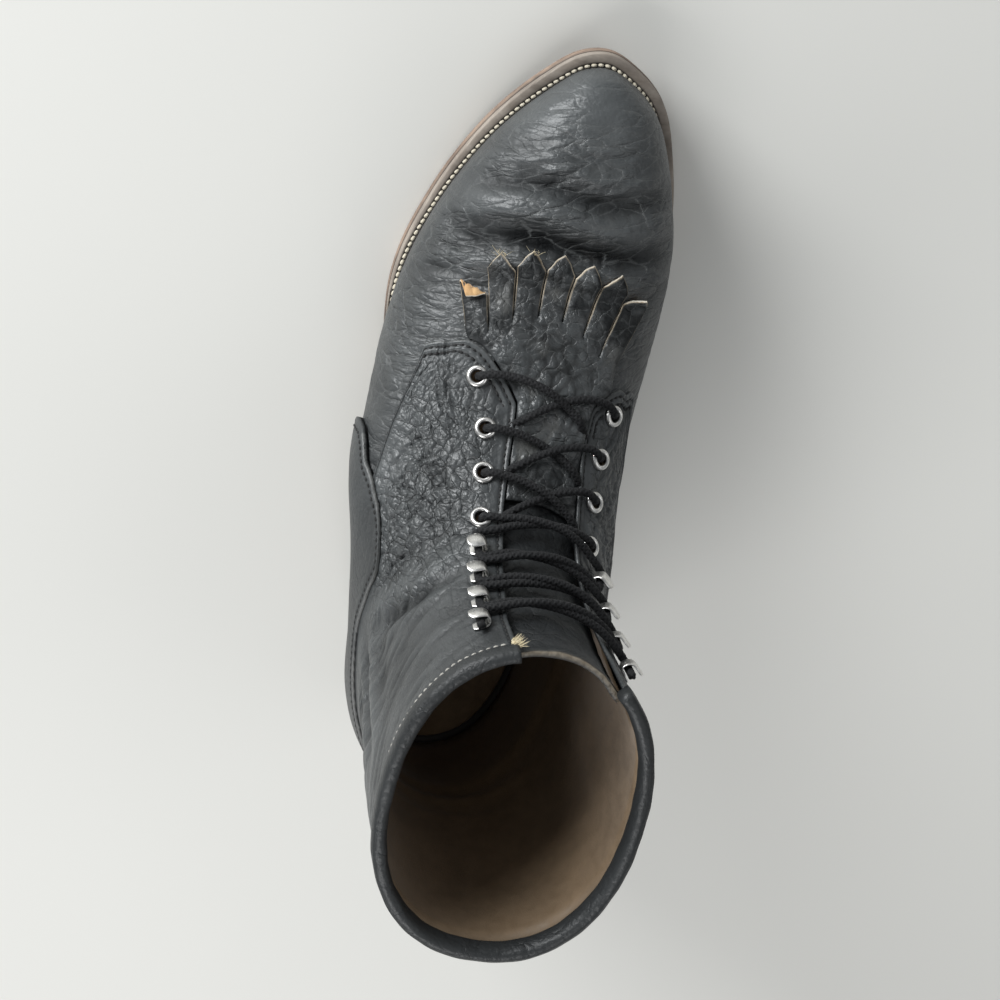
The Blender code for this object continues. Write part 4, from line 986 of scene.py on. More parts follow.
def cord(name, dark, light, rough):
    m = Nodes(name)
    fibre = m.noise(2400.0, 3.0, 0.7)
    m.link("Base Color", m.mix(m.range(fibre, 0.35, 0.7, 0.0, 1.0), dark, light))
    m.link("Roughness", m.range(fibre, 0.3, 0.7, rough - 0.1, rough + 0.1))
    m.link("Normal", m.bump(fibre, 0.00018, 0.6))
    m.set(Sheen_Weight=0.04, Sheen_Roughness=0.5, Specular_IOR_Level=0.3)
    return m.material


# Tones of the thin lines between the grain's cells: the vamp's light lines are painted highlight on the
# lines' lips, the kiltie's are its pale cracked finish and painted highlight, and the dark lines of the
# quarters, counter, binding and tongue are painted shade in the grain lines.
LIGHT_LINE = (0.13, 0.135, 0.135)
DARK_LINE = (0.002, 0.002, 0.0025)
VAMP_LEATHER = leather("vamp_leather", 0.44, (0.0054, 0.017, 0.017), LIGHT_LINE, -0.28)
QUARTER_LEATHER = leather("quarter_leather", 0.42, (0.0056, 0.0062, 0.0072), DARK_LINE)
SMOOTH_LEATHER = leather("smooth_leather", 0.36, (0.009, 0.009, 0.009), DARK_LINE)
KILTIE_LEATHER = leather("kiltie_leather", 0.35, (0.0060, 0.0075, 0.0075), LIGHT_LINE)
FLESH = hide_lining("flesh_side", rgb(0.62, 0.42, 0.21), rgb(0.40, 0.21, 0.085), 0.85)
CUT_EDGE = hide_lining("cut_edge", rgb(0.72, 0.68, 0.60), rgb(0.46, 0.39, 0.30), 0.85)
LINING = hide_lining("lining", rgb(0.18, 0.122, 0.07), rgb(0.11, 0.073, 0.04), 0.6)
INSOLE = hide_lining("insole_leather", rgb(0.34, 0.235, 0.135), rgb(0.17, 0.11, 0.062), 0.6)
OUTSOLE = sole_edge("outsole_leather", rgb(0.20, 0.13, 0.095), rgb(0.36, 0.27, 0.205), 0.75)
WELT = sole_edge("welt_edge", rgb(0.24, 0.20, 0.165), rgb(0.36, 0.315, 0.27), 0.45)
HEEL = sole_edge("heel_edge", rgb(0.028, 0.021, 0.017), rgb(0.055, 0.040, 0.030), 0.5)
RUBBER = rubber("heel_rubber_matt")
NICKEL = nickel("nickel_plate")
LACE = cord("black_braid", rgb(0.003, 0.003, 0.0035), rgb(0.015, 0.0155, 0.017), 0.75)
CREAM = cord("cream_thread", rgb(0.50, 0.44, 0.33), rgb(0.80, 0.75, 0.63), 0.75)
THREAD = cord("black_thread", rgb(0.005, 0.005, 0.005), rgb(0.022, 0.022, 0.022), 0.6)
GREY_THREAD = cord("grey_thread", rgb(0.22, 0.21, 0.19), rgb(0.50, 0.48, 0.44), 0.7)
FIBRE = cord("loose_fibre", rgb(0.50, 0.40, 0.22), rgb(0.85, 0.78, 0.60), 0.8)


# Vamp, quarters, counter, lining, binding and tongue

VAMP_BACK = rows(
    "along t",
    (0.10, 0.452), (0.25, 0.452), (0.43, 0.452), (0.50, 0.25), (0.54, 0.117), (0.60, 0.0))
VAMP_SINK = 0.9
VAMP_GRID = 0.9
QUARTER_GRID = 1.0
VAMP_UNDER = 2.1
VAMP_PALE = 0.08
TOE_PALE = 0.45


def offset_line(line_st, distance):
    """A line of the flat chart moved to its left, in millimetres of the chart."""
    uv = to_flat(line_st)
    way = np.gradient(uv, axis=0)
    way = unit(way)
    return from_flat(uv + np.stack([-way[:, 1], way[:, 0]], 1) * distance)


def leather_marks(count, **given):
    """Marks of a leather piece: one value for all points, or values for the first and none for the rest."""
    marks = {}
    for name in ("tone", "net", "worn", "raw"):
        value = np.ravel(given.get(name, 0.0))
        marks[name] = np.full(count, value[0]) if len(value) == 1 else np.pad(value, (0, count - len(value)))
    return marks


def panel_piece(name, sheet, high, under, material, node, **marks):
    """A closed leather piece on the upper from its sheet and the heights of its two sides."""
    top, low = from_flat(sheet["top"]), from_flat(sheet["low"])
    verts, faces, _ = closed(sheet, placed(top, high), placed(low, under))
    piece(name, verts, faces, [material], "black_leather", [node], leather_marks(len(verts), **marks))


def make_vamp():
    back = np.stack([VAMP_BACK["along"], VAMP_BACK["t"]], 1)
    low_edge = np.linspace(-back[-1, 0], back[-1, 0], 120)[1:-1]
    loop = np.concatenate([back[::-1], back * [-1, 1], level_rows(low_edge, 0.0)])
    sheet = panel([to_flat(loop)], VAMP_GRID, 3.0)
    top, low = from_flat(sheet["top"]), from_flat(sheet["low"])
    p = placed(top)
    grain, line = vamp_relief(p, top[:, 0])
    form = creases(p, CREASE_LINES)
    relief = form
    wrinkles = creases(p, WRINKLE_LINES)
    for side in (1, -1):
        loop = to_flat(quarter_outline(side))
        under = inside(sheet["top"], [loop])
        off = nearest(sheet["top"], [chain(loop, 0.5)])
        relief = relief + under * (wrinkles - VAMP_SINK) * ease(0.4, 3.0, off)
        grain = grain * np.where(under, 0.0, ease(0.0, 5.0, off))
    relief = (relief + grain) * ease(0.0, 0.035, top[:, 1])
    under = np.minimum(creases(placed(low)), 0) - VAMP_UNDER
    # pale grain lines: partly dust, partly painted highlight on their lips, strongest on the inner side,
    # away from the key light
    worn = VAMP_PALE * line * (0.25 + 0.75 * ease(14.0, -12.0, p[:, 1]))
    # tone: painted shade in the creases, the flex trough and the grain's hollows, painted highlight on the
    # ridges, and lighter towards the toe's end
    panel_piece("vamp", sheet, relief, under, VAMP_LEATHER, "upper", worn=worn, net=vamp_zone(p),
                tone=np.clip(tone(form, grain) + TOE_PALE * ease(255.0, 282.0, p[:, 0]), 0, 1))


def eyelet_hole(row, side, radius=EYELET_HOLE + GAP, count=18):
    s, t = seat_place(row, side)
    turn = np.linspace(0, 2 * np.pi, count, endpoint=False)
    return np.stack([local_move(s, t, radius * math.cos(a), radius * math.sin(a)) for a in turn])


def quarter_edge(side):
    """Front edge and throat of one quarter, from the feather to the collar."""
    t = np.linspace(QUARTER_EDGE["t"][0], UPPER_TOP, 60)[1:]
    return np.concatenate([quarter_front(side)[::-1], np.stack([facing_edge(side, t), t], 1)])


def quarter_outline(side):
    edge = quarter_edge(side)
    rim = np.linspace(edge[-1, 0], side, 80)[1:]
    seam = np.linspace(UPPER_TOP, 0, 60)[1:]
    foot = np.linspace(side, edge[0, 0], 120)[1:-1]
    return np.concatenate([edge, level_rows(rim, UPPER_TOP),
                           np.stack([np.full(len(seam), side), seam], 1), np.stack([foot, 0 * foot], 1)])


SEAM_ROWS = (2.0, 4.4)
SEAM_DEEP = 0.6
SEAM_HALF = 0.55
QUARTER_RINGS = (0.3, 0.8, 1.4, 2.0, 2.6, 3.2, 3.8, 4.4, 5.0)
QUARTER_UNDER = 0.7
QUARTER_PALE = 0.3


def quarter_relief(st, off):
    """Relief at places on a quarter some chart millimetres from its sewn edge, which is left smooth, and the
    tone painted from it: painted shade in the hollows, painted highlight on the ridges.
    """
    p = placed(st)
    grain = (shaft_lines(p, st[:, 0], st[:, 1]) + 0.6 * lumps(p / 30.0, 17)) * ease(0.0, 5.0, off)
    form = creases(p)
    return (form + grain) * ease(0.0, 0.03, st[:, 1]), tone(form, grain)


def make_quarter(name, side):
    holes = [to_flat(eyelet_hole(row, side)) for row in range(EYELET_ROWS)]
    sheet = panel([to_flat(quarter_outline(side))] + holes, QUARTER_GRID, rim=QUARTER_RINGS)
    top, low = from_flat(sheet["top"]), from_flat(sheet["low"])
    lift = STEP * ease(0, COUNTER_FOOT, top[:, 1])
    off = nearest(sheet["top"], [chain(to_flat(quarter_edge(side)), 0.3, False)])
    sewn = top[:, 1] > 0.1
    front = sewn & (top[:, 1] < QUARTER_EDGE["t"][0])
    seams = (sewn * np.exp(-((off - SEAM_ROWS[0]) / SEAM_HALF) ** 2)
             + front * np.exp(-((off - SEAM_ROWS[1]) / SEAM_HALF) ** 2))
    swell = 0.3 * front * np.exp(-((off - 0.5 * sum(SEAM_ROWS)) / 0.6) ** 2)
    relief, dye_and_painted_shading = quarter_relief(top, off)
    high = relief + lift * (0.2 + 0.8 * roundness(sheet["edge"], 0.9)) - SEAM_DEEP * seams + swell
    under = np.minimum(creases(placed(low)), 0) - QUARTER_UNDER
    # a greyer line along the front edge
    worn = 0.25 * ease(0.7, 0.1, off) * (top[:, 1] > 0.2) * (top[:, 1] < QUARTER_EDGE["t"][0])
    # tone: painted shade in the hollows and seam grooves, painted highlight on the ridges and on the swell
    # between the seam rows, lighter where wrinkled
    shade = np.clip(dye_and_painted_shading + QUARTER_PALE * wrinkled(top[:, 0], top[:, 1]) - 0.55 * seams + 0.8 * swell, 0, 1)
    net = (0.3 + 0.7 * wrinkled(top[:, 0], top[:, 1])) * ease(4.0, 9.0, off)
    panel_piece(name, sheet, high, under, QUARTER_LEATHER, "upper", worn=worn, tone=shade, net=net)


COUNTER_ROW = 2.4


def counter_outline():
    edge = np.stack([COUNTER_EDGE["along"], COUNTER_EDGE["t"]], 1)
    edge[0] = [np.interp(COUNTER_FOOT, edge[:2, 1], edge[:2, 0]), COUNTER_FOOT]
    return from_flat(rounded(to_flat(edge)))


def make_counter():
    line = counter_outline()
    other = line[::-1] * [-1, 1] + [2, 0]
    foot = np.linspace(other[-1, 0], line[0, 0], 160)[1:-1]
    loop = np.concatenate([line, other[1:], level_rows(foot, COUNTER_FOOT)])
    sheet = panel([to_flat(loop)], 1.4)
    top, low = from_flat(sheet["top"]), from_flat(sheet["low"])
    p = placed(top)
    inward = ease(0.0, 6.0, sheet["edge"])
    grain = 0.3 * shaft_lines(p, top[:, 0], top[:, 1]) * inward
    high = STEP + GAP + shaft_form(p) + grain + COUNTER_THICK * (0.15 + 0.85 * roundness(sheet["edge"], 1.1))
    high = high - 0.3 * np.exp(-((sheet["edge"] - COUNTER_ROW) / 0.6) ** 2)
    under = STEP - 0.2 + np.minimum(creases(placed(low)), 0)
    # a greyer line along the edge
    worn = 0.45 * ease(1.0, 0.2, sheet["edge"]) * (top[:, 1] > 0.2) * (0.6 + 0.5 * lumps(p / 14.0, 71))
    # tone: painted shade in the creases and hollows, painted highlight on the ridges, all a little darker
    shade = np.clip(tone(shaft_form(p), grain) - 0.2, 0, 1)
    panel_piece("counter_cover", sheet, high, under, QUARTER_LEATHER, "counter",
                worn=worn, tone=shade, net=0.2 * inward)


LINING_BACK = 0.10
LINING_THICK = 0.7
LINING_DROP = 1.7


def make_lining():
    throat_t = np.linspace(THROAT_BOTTOM, UPPER_TOP, 40)
    outer = np.stack([facing_edge(1, throat_t) + LINING_BACK, throat_t], 1)
    inner = np.stack([2 + facing_edge(-1, throat_t) - LINING_BACK, throat_t], 1)[::-1]
    rim = np.linspace(outer[-1, 0], inner[0, 0], 100)[1:-1]
    ridge_t = np.linspace(0.01, THROAT_BOTTOM, 40)[:-1]
    low_edge = np.linspace(2.0, 0.0, 300)[1:-1]
    loop = np.concatenate([
        np.stack([np.full(len(ridge_t), 1e-4), ridge_t], 1), outer,
        level_rows(rim, UPPER_TOP), inner,
        np.stack([np.full(len(ridge_t), 2 - 1e-4), ridge_t[::-1]], 1),
        level_rows(low_edge, 0.01)])
    sheet = panel([to_flat(loop)], 4.0, 6.0, rim=())
    sides = []
    for st, depth in ((from_flat(sheet["top"]), WALL - LINING_THICK), (from_flat(sheet["low"]), WALL)):
        p = placed(st)
        drop = LINING_DROP * ease(THROAT_BOTTOM + 0.05, THROAT_BOTTOM - 0.03, st[:, 1])
        drop = drop * ease(0.0, 0.06, st[:, 1])
        sides.append(placed(st, np.minimum(creases(p), 0) - depth - drop))
    verts, faces, _ = closed(sheet, *sides)
    piece("lining", verts, faces, [LINING], "lining_leather")


BINDING = rows(
    "lift rise",
    (STEP + 0.5, -0.12), (STEP + 1.05, 0.0), (STEP + 1.3, 0.3), (STEP + 1.25, 0.58), (STEP + 0.75, 0.86),
    (0.1, 0.99), (-0.8, 1.0), (-WALL + 0.6, 0.97), (-WALL - 0.4, 0.84),
    (-WALL - 0.9, 0.58), (-WALL - 0.95, 0.3),
    (-WALL - 0.6, 0.02), (-WALL + 0.2, -0.1))
BINDING_STATIONS = 260


def make_binding():
    s = np.linspace(facing_edge(1, UPPER_TOP), 2 + facing_edge(-1, UPPER_TOP), BINDING_STATIONS)
    low = UPPER_TOP + GAP / RIDGE_LENGTH
    ripple = 0.18 * np.sin(s * 41.0) + 0.14 * np.sin(s * 97.0 + 1.0)
    rings = []
    for lift, rise in zip(BINDING["lift"], BINDING["rise"]):
        t = np.full(len(s), low + (1 - low) * rise)
        rings.append(on_upper(s, t, np.full(len(s), lift) + ripple * (0.5 if lift > 0 else -0.5)))
    verts = np.stack(rings, 1)
    n, k = verts.shape[:2]
    faces = [(i * k + j, (i + 1) * k + j, (i + 1) * k + (j + 1) % k, i * k + (j + 1) % k)
             for i in range(n - 1) for j in range(k)]
    faces += [tuple(range(k)), tuple((n - 1) * k + i for i in range(k))[::-1]]
    piece("binding", verts.reshape(-1, 3), faces, [SMOOTH_LEATHER], "black_leather", ["collar_binding"],
          leather_marks(n * k, tone=0.32, net=0.3))


TONGUE_SWELL = 1.7


def make_tongue():
    t = np.linspace(TONGUE_FOOT, TONGUE_TOP, 60)
    wide = lacing("gap", t) + TONGUE_TUCK
    corner = np.sqrt(np.clip(1 - ease(TONGUE_TOP - 0.03, TONGUE_TOP, t) ** 2 * 0.35, 0, 1))
    outer = np.stack([lacing("centre", t) + wide * corner, t], 1)
    inner = np.stack([lacing("centre", t) - wide * corner, t], 1)
    sheet = panel([to_flat(np.concatenate([outer, inner[::-1]]))], 1.6, 6.0)
    top, low = from_flat(sheet["top"]), from_flat(sheet["low"])

    def swell(st):
        u = (st[:, 0] - lacing("centre", st[:, 1])) / lacing("gap", st[:, 1])
        free = ease(0.69, 0.76, st[:, 1])
        return TONGUE_SWELL * np.clip(1 - u * u, 0, 1) * free

    p = placed(top)
    grain = 0.6 * hide_grain(p, *sheet["top"].T, FLAP_GRAIN, 51)[0] + 0.4 * lumps(p / 16.0, 52)
    roll = 0.9 * ease(5.0, 1.5, (TONGUE_TOP - top[:, 1]) * RIDGE_LENGTH)
    high = -WALL - TONGUE_CLEAR + swell(top) + grain + roll
    high = high - TONGUE_THICK * 0.4 * (1 - roundness(sheet["edge"], 1.0))
    under = -WALL - TONGUE_CLEAR - TONGUE_THICK + swell(low)
    verts, faces, walls = closed(sheet, placed(top, high), placed(low, under))
    n = len(sheet["top_tris"])
    paint = [0] * n + [1] * len(sheet["low_tris"]) + [0] * walls
    raw = 0.3 * ease(0.4, 0.05, sheet["edge"]) * (top[:, 1] > TONGUE_TOP - 0.02)
    piece("tongue_leather", verts, faces, [SMOOTH_LEATHER, LINING], "black_leather", ["tongue"],
          leather_marks(len(verts), tone=0.3, net=0.4, raw=raw), paint)


# Kiltie

KILTIE_PIVOT = (110.0, -0.5)
KILTIE_TABS = rows(
    "angle tip curl_length curl_radius curl_angle twist",
    (-16.65, 117.0, 8.0, 6.0, 50, -14), (-11.1, 120.5, 9.0, 16.0, 18, 5), (-5.55, 120.5, 10.0, 20.0, 16, -4),
    (0.0, 121.3, 9.0, 18.0, 14, 3), (5.55, 121.0, 11.0, 18.0, 22, 6), (11.1, 118.6, 9.0, 14.0, 20, -6),
    (16.65, 113.5, 10.0, 2.4, 148, 10))
TAB_STEP = 5.55
TAB_POINT = 6.4
SLIT_HALF = 0.15
OUTER_SLANT = 0.45
SLIT_ROOT = 97.0
SLIT_ROOT_FALL = 8.0
KILTIE_EDGE_CLEAR = 0.5
KILTIE_THROAT_CLEAR = 0.0015
KILTIE_CORNER_CLEAR = 0.004
KILTIE_FOOT = QUARTER_EDGE["t"][0] + 0.012
KILTIE_TOP = 0.665
KILTIE_SINK = {"start": QUARTER_EDGE["t"][0] + 0.01, "run": 0.05, "depth": 0.55 + 1.7}
KILTIE_LIFT = 0.25
TAB_SKIVE = 0.6
FLAP_PALE = 0.06


def fan(angle, reach):
    a = np.radians(angle)
    return from_plan(KILTIE_PIVOT[0] + reach * np.cos(a), KILTIE_PIVOT[1] + reach * np.sin(a))


def slit_root(angle):
    return SLIT_ROOT - SLIT_ROOT_FALL * (angle / KILTIE_TABS["angle"][-1]) ** 2


def kiltie_outline():
    """Fringe from the inner to the outer side, then back along the quarters and up the throat."""
    fringe = []
    for angle, tip in zip(KILTIE_TABS["angle"], KILTIE_TABS["tip"]):
        half = TAB_STEP / 2 - SLIT_HALF
        root = slit_root(angle)
        shoulder = tip - TAB_POINT
        sides = np.linspace(root, shoulder, 8)
        fringe += [(angle - half, r) for r in sides]
        fringe += [(angle - half * 0.56, tip - 0.46 * TAB_POINT), (angle, tip),
                   (angle + half * 0.56, tip - 0.46 * TAB_POINT)]
        fringe += [(angle + half, r) for r in sides[::-1]]
    fringe = fan(*np.array(fringe).T)
    sides = []
    for side in (1, -1):
        table = np.stack([QUARTER_EDGE["outer" if side > 0 else "inner"], QUARTER_EDGE["t"]], 1)[:5]
        edge = offset_line(from_flat(rounded(to_flat(table))), -KILTIE_EDGE_CLEAR * side)
        limit = abs(fringe[-1 if side > 0 else 0, 0])
        edge = edge[np.abs(edge[:, 0]) < limit - KILTIE_CORNER_CLEAR]
        t = np.linspace(KILTIE_FOOT, KILTIE_TOP, 16)
        throat = np.stack([facing_edge(side, t) - side * KILTIE_THROAT_CLEAR, t], 1)
        sides.append(np.concatenate([edge[::-1], throat]))
    return np.concatenate([fringe, sides[0], sides[1][::-1]])


def kiltie_sink(t):
    u = ease(0, 1, (t - KILTIE_SINK["start"]) / KILTIE_SINK["run"])
    return -KILTIE_SINK["depth"] * u


def from_pivot(p):
    """Direction, distance, angle in radians and tab of points, seen from the fringe's pivot."""
    flat = p[:, :2] - np.array(KILTIE_PIVOT)
    angle = np.arctan2(flat[:, 1], flat[:, 0])
    last = len(KILTIE_TABS["angle"]) - 1
    tab = np.clip(np.round(np.degrees(angle) / TAB_STEP).astype(int) + last // 2, 0, last)
    return flat, np.linalg.norm(flat, axis=1), angle, tab


def curl(st, lift):
    """Points of the flap, with the ends of its tabs bent up off the vamp."""
    p, n = placed(st), normal_at(st[:, 0], st[:, 1])
    flat, reach, angle, tab = from_pivot(p)
    way = np.concatenate([flat / reach[:, None], np.zeros((len(p), 1))], 1)
    way -= n * (way * n).sum(1, keepdims=True)
    way = unit(way)
    length, radius, most, twist = (
        KILTIE_TABS[k][tab] for k in ("curl_length", "curl_radius", "curl_angle", "twist"))
    free = reach > SLIT_ROOT - SLIT_ROOT_FALL
    offset = np.radians(np.degrees(angle) - KILTIE_TABS["angle"][tab]) * reach
    slant = np.where(tab == len(KILTIE_TABS["angle"]) - 1, OUTER_SLANT * offset, 0.0)
    past = np.where(free, np.clip(reach - KILTIE_TABS["tip"][tab] + length - slant, 0, None), 0.0)
    turn = np.minimum(past / radius, np.radians(most))
    rest = past - turn * radius
    lean = np.radians(twist) * ease(0, 1, past / length)
    start = p - way * past[:, None]
    go = radius * np.sin(turn) + rest * np.cos(turn)
    up = radius * (1 - np.cos(turn)) + rest * np.sin(turn)
    out = n * np.cos(turn)[:, None] - way * np.sin(turn)[:, None]
    return start + way * go[:, None] + n * (up + offset * np.sin(lean))[:, None] + out * lift[:, None]


def make_kiltie():
    sheet = panel([to_flat(kiltie_outline())], 0.85, 3.0, rim=(0.22, 0.5))
    top, low = from_flat(sheet["top"]), from_flat(sheet["low"])
    heights = []
    for st in (top, low):
        p = placed(st)
        on_vamp = np.maximum(creases(p, CREASE_LINES), -0.5) + 0.5 * vamp_relief(p, st[:, 0])[0]
        heights.append(KILTIE_CLEAR + kiltie_sink(st[:, 1]) + KILTIE_LIFT
                       + on_vamp * ease(0.56, 0.50, st[:, 1]))
    p = placed(top)
    _, reach, angle, tab = from_pivot(p)
    grain, line = hide_grain(p, reach, angle * SLIT_ROOT, FLAP_GRAIN, 61)
    grain = grain + 0.5 * lumps(p / 12.0, 65) + 0.16 * lumps(p / 3.1, 67)
    # tone: painted shade in the grain's hollows, painted highlight on its domes
    shade = np.clip(tone(0.0, 2.0 * grain) + 0.16, 0, 1)
    grain = np.maximum(grain * (1 - 0.6 * ease(0.46, 0.41, top[:, 1])), -0.4)
    body = KILTIE_THICK - TAB_SKIVE * ease(0.43, 0.39, top[:, 1])
    body = body * (0.45 + 0.55 * roundness(sheet["edge"], 0.7))
    inward = ease(0.0, 2.5, sheet["edge"])
    verts, faces, walls = closed(sheet, curl(top, heights[0] + body + grain * inward), curl(low, heights[1]))
    tip = ease(-8.0, -5.5, reach - KILTIE_TABS["tip"][tab])
    fringe = ease(0.44, 0.40, top[:, 1])
    roots = slit_root(KILTIE_TABS["angle"][tab])
    cut_line = 0.5 * ease(0.4, 0.1, sheet["edge"]) * ease(1.0, 9.0, reach - roots)
    bare = np.maximum(tip * ease(0.32, 0.02, sheet["edge"]), cut_line)
    bare = bare * (0.75 + 0.4 * lumps(p / 3.0, 66)) * fringe
    rubbed = 0.32 * ease(0.1, 0.7, lumps(p / 9.0, 68)) * ease(0.1, -0.25, grain)
    # pale grain lines (cracked finish and painted highlight on their lips) and greyer patches in the low
    # places
    worn = (FLAP_PALE * line + rubbed) * inward
    paint = [0] * len(sheet["top_tris"]) + [1] * len(sheet["low_tris"])
    wall = np.array([f[0] for f in faces[-walls:]])
    cut_edge = (top[wall, 1] < 0.44) & (reach[wall] > roots[wall] + 1.2)
    paint += list(np.where(cut_edge, 2, 0))
    marks = leather_marks(len(verts), raw=np.clip(1.2 * bare, 0, 1), worn=worn, tone=shade, net=0.8 * inward)
    piece("kiltie_flap", verts, faces, [KILTIE_LEATHER, FLESH, CUT_EDGE], "black_leather", ["kiltie"],
          marks, paint)


# Eyelets, hooks and laces

def seat(row, side):
    """Centre, outward side direction, upward direction and normal at an eyelet or hook."""
    s, t = seat_place(row, side)
    d = 0.004
    across = on_upper(s + d, t) - on_upper(s - d, t)
    across /= np.linalg.norm(across)
    normal = normal_at(s, t)
    return on_upper(s, t, STEP + SEAT_CLEAR), across * side, np.cross(normal, across), normal


EYELET_PROFILE = rows(
    "radius high",
    (2.3, -2.2), (2.35, 0.4), (2.5, 0.85), (2.85, 1.15), (3.3, 1.2), (3.75, 1.0), (4.1, 0.6), (4.28, 0.1),
    (4.2, -0.3), (3.2, -0.35), (2.75, -0.5), (2.7, -2.2))


def lathe(at, one, two, axis, profile, sides):
    turn = np.linspace(0, 2 * np.pi, sides, endpoint=False)
    spoke = np.cos(turn)[:, None] * one + np.sin(turn)[:, None] * two
    verts = (at + spoke[:, None] * profile["radius"][None, :, None] + axis * profile["high"][None, :, None])
    k = len(profile["radius"])
    faces = [(i * k + j, ((i + 1) % sides) * k + j, ((i + 1) % sides) * k + (j + 1) % k, i * k + (j + 1) % k)
             for i in range(sides) for j in range(k)]
    return verts.reshape(-1, 3), faces


def join(parts):
    """Several meshes as one list of points and faces."""
    verts, faces, at = [], [], 0
    for v, f in parts:
        verts.append(v)
        faces += [tuple(i + at for i in q) for q in f]
        at += len(v)
    return np.concatenate(verts), faces


def make_eyelets():
    parts, nodes = [], []
    for row in range(EYELET_ROWS):
        for side, word in ((1, "outer"), (-1, "inner")):
            at, across, up, normal = seat(row, side)
            verts, faces = lathe(at, across * side, up, normal, EYELET_PROFILE, 36)
            parts.append((verts, [f[::-1] for f in faces]))
            nodes.append(f"eyelet_{word}_{row + 1}")
    piece("eyelets", *join(parts), [NICKEL], "nickel", nodes)


HOOK_LINE = rows(
    "out high half",
    (3.3, 0.35, 1.8), (2.0, 0.35, 2.5), (-0.6, 0.35, 2.5), (-2.2, 0.45, 2.4), (-3.0, 1.1, 2.2),
    (-3.25, 2.4, 2.2), (-3.0, 3.8, 2.3), (-2.2, 4.8, 2.8), (-0.6, 5.3, 3.2), (1.2, 5.55, 3.2),
    (2.6, 5.75, 2.7), (3.5, 6.0, 1.7))
HOOK_THICK = 0.85
HOOK_RIM = 9


def make_hooks():
    line = rounded(np.stack([HOOK_LINE[k] for k in ("out", "high", "half")], 1), 5)
    way = np.gradient(line[:, :2], axis=0)
    way = unit(way)
    off = np.stack([-way[:, 1], way[:, 0]], 1)
    turn = np.linspace(0, 2 * np.pi, 2 * HOOK_RIM, endpoint=False)
    c, d = np.cos(turn), np.sin(turn)
    wide = np.sign(c) * np.abs(c) ** 0.6
    thick = np.sign(d) * np.abs(d) ** 0.6 * HOOK_THICK / 2
    parts, nodes = [], []
    for row in range(EYELET_ROWS, len(LACING["t"])):
        for side, word in ((1, "outer"), (-1, "inner")):
            at, across, up, normal = seat(row, side)
            flat = line[:, None, :2] + off[:, None] * thick[None, :, None]
            dome = 0.5 * ease(3.5, 5.0, line[:, 1])[:, None] * (1 - wide[None] ** 2)
            verts = (at + flat[..., :1] * across + (flat[..., 1:] + dome[..., None]) * normal
                     + (line[:, 2:, None] * wide[None, :, None]) * up)
            n, k = verts.shape[:2]
            faces = tube(n, k) + end_caps(n, k)
            if side > 0:
                faces = [f[::-1] for f in faces]
            parts.append((verts.reshape(-1, 3), faces))
            nodes.append(f"hook_{word}_{row - EYELET_ROWS + 1}")
    piece("hooks", *join(parts), [NICKEL], "nickel", nodes)


EYELET_CLEAR = 6.4
HOOK_HALF = 2.9
HOOK_CLEAR = HOOK_HALF + LACE_RADIUS + 0.6
LACE_ON_FACING = STEP + LACE_RADIUS + 1.0
LACE_OVER = 1.9
LACE_DIP = 0.3
HOOK_CHANNEL = (0.0, 2.7)
EYELET_LEAD = 2.4
HOOK_LEAD = 2.0


def lace_rest(t):
    """Lowest height of a lace's middle on the flap."""
    return KILTIE_CLEAR + KILTIE_LIFT + KILTIE_THICK + kiltie_sink(t) + GAP + LACE_RADIUS


def eyelet_start(row, side):
    """Up through the eyelet and over its rim, towards the throat."""
    s, t = seat_place(row, side)
    at, _, _, normal = seat(row, side)
    lead = local_move(s, t, -side * EYELET_CLEAR, EYELET_LEAD)
    toward = on_upper(lead[0], lead[1]) - on_upper(s, t)
    toward /= np.linalg.norm(toward)
    steps = ((0.3, -4.0), (0.4, -1.4), (0.7, 0.5), (1.7, 1.7), (3.2, 2.3))
    return lead, np.array([at + toward * a + normal * h for a, h in steps])


def eyelet_strand(row, side, over):
    """A lace out of an eyelet, over the flap, under the next row's facing on the other side."""
    start, rise = eyelet_start(row, side)
    after = seat_place(row + 1, -side)[1]
    edge = facing_edge(-side, after)
    end = local_move(edge, after, side * 1.2, 0.0)
    u = np.linspace(0, 1, 9)
    s, t = (start[k] + (end[k] - start[k]) * u for k in (0, 1))
    rest = lace_rest(t)
    middle = rest[4] + (LACE_OVER if over else 0.0)
    lift = smooth(np.array([0, 0.5, 1]), np.array([LACE_ON_FACING, middle, 0]), u)
    across = on_upper(s, t, np.maximum(lift, rest))
    tuck = [local_move(edge, after, -side * d, 0.3 * d) for d in (1.5, 4.0)]
    hidden = np.array([on_upper(k[0], k[1], h) for k, h in zip(tuck, (-0.8, -1.6))])
    return np.concatenate([rise, across[:-1], hidden])


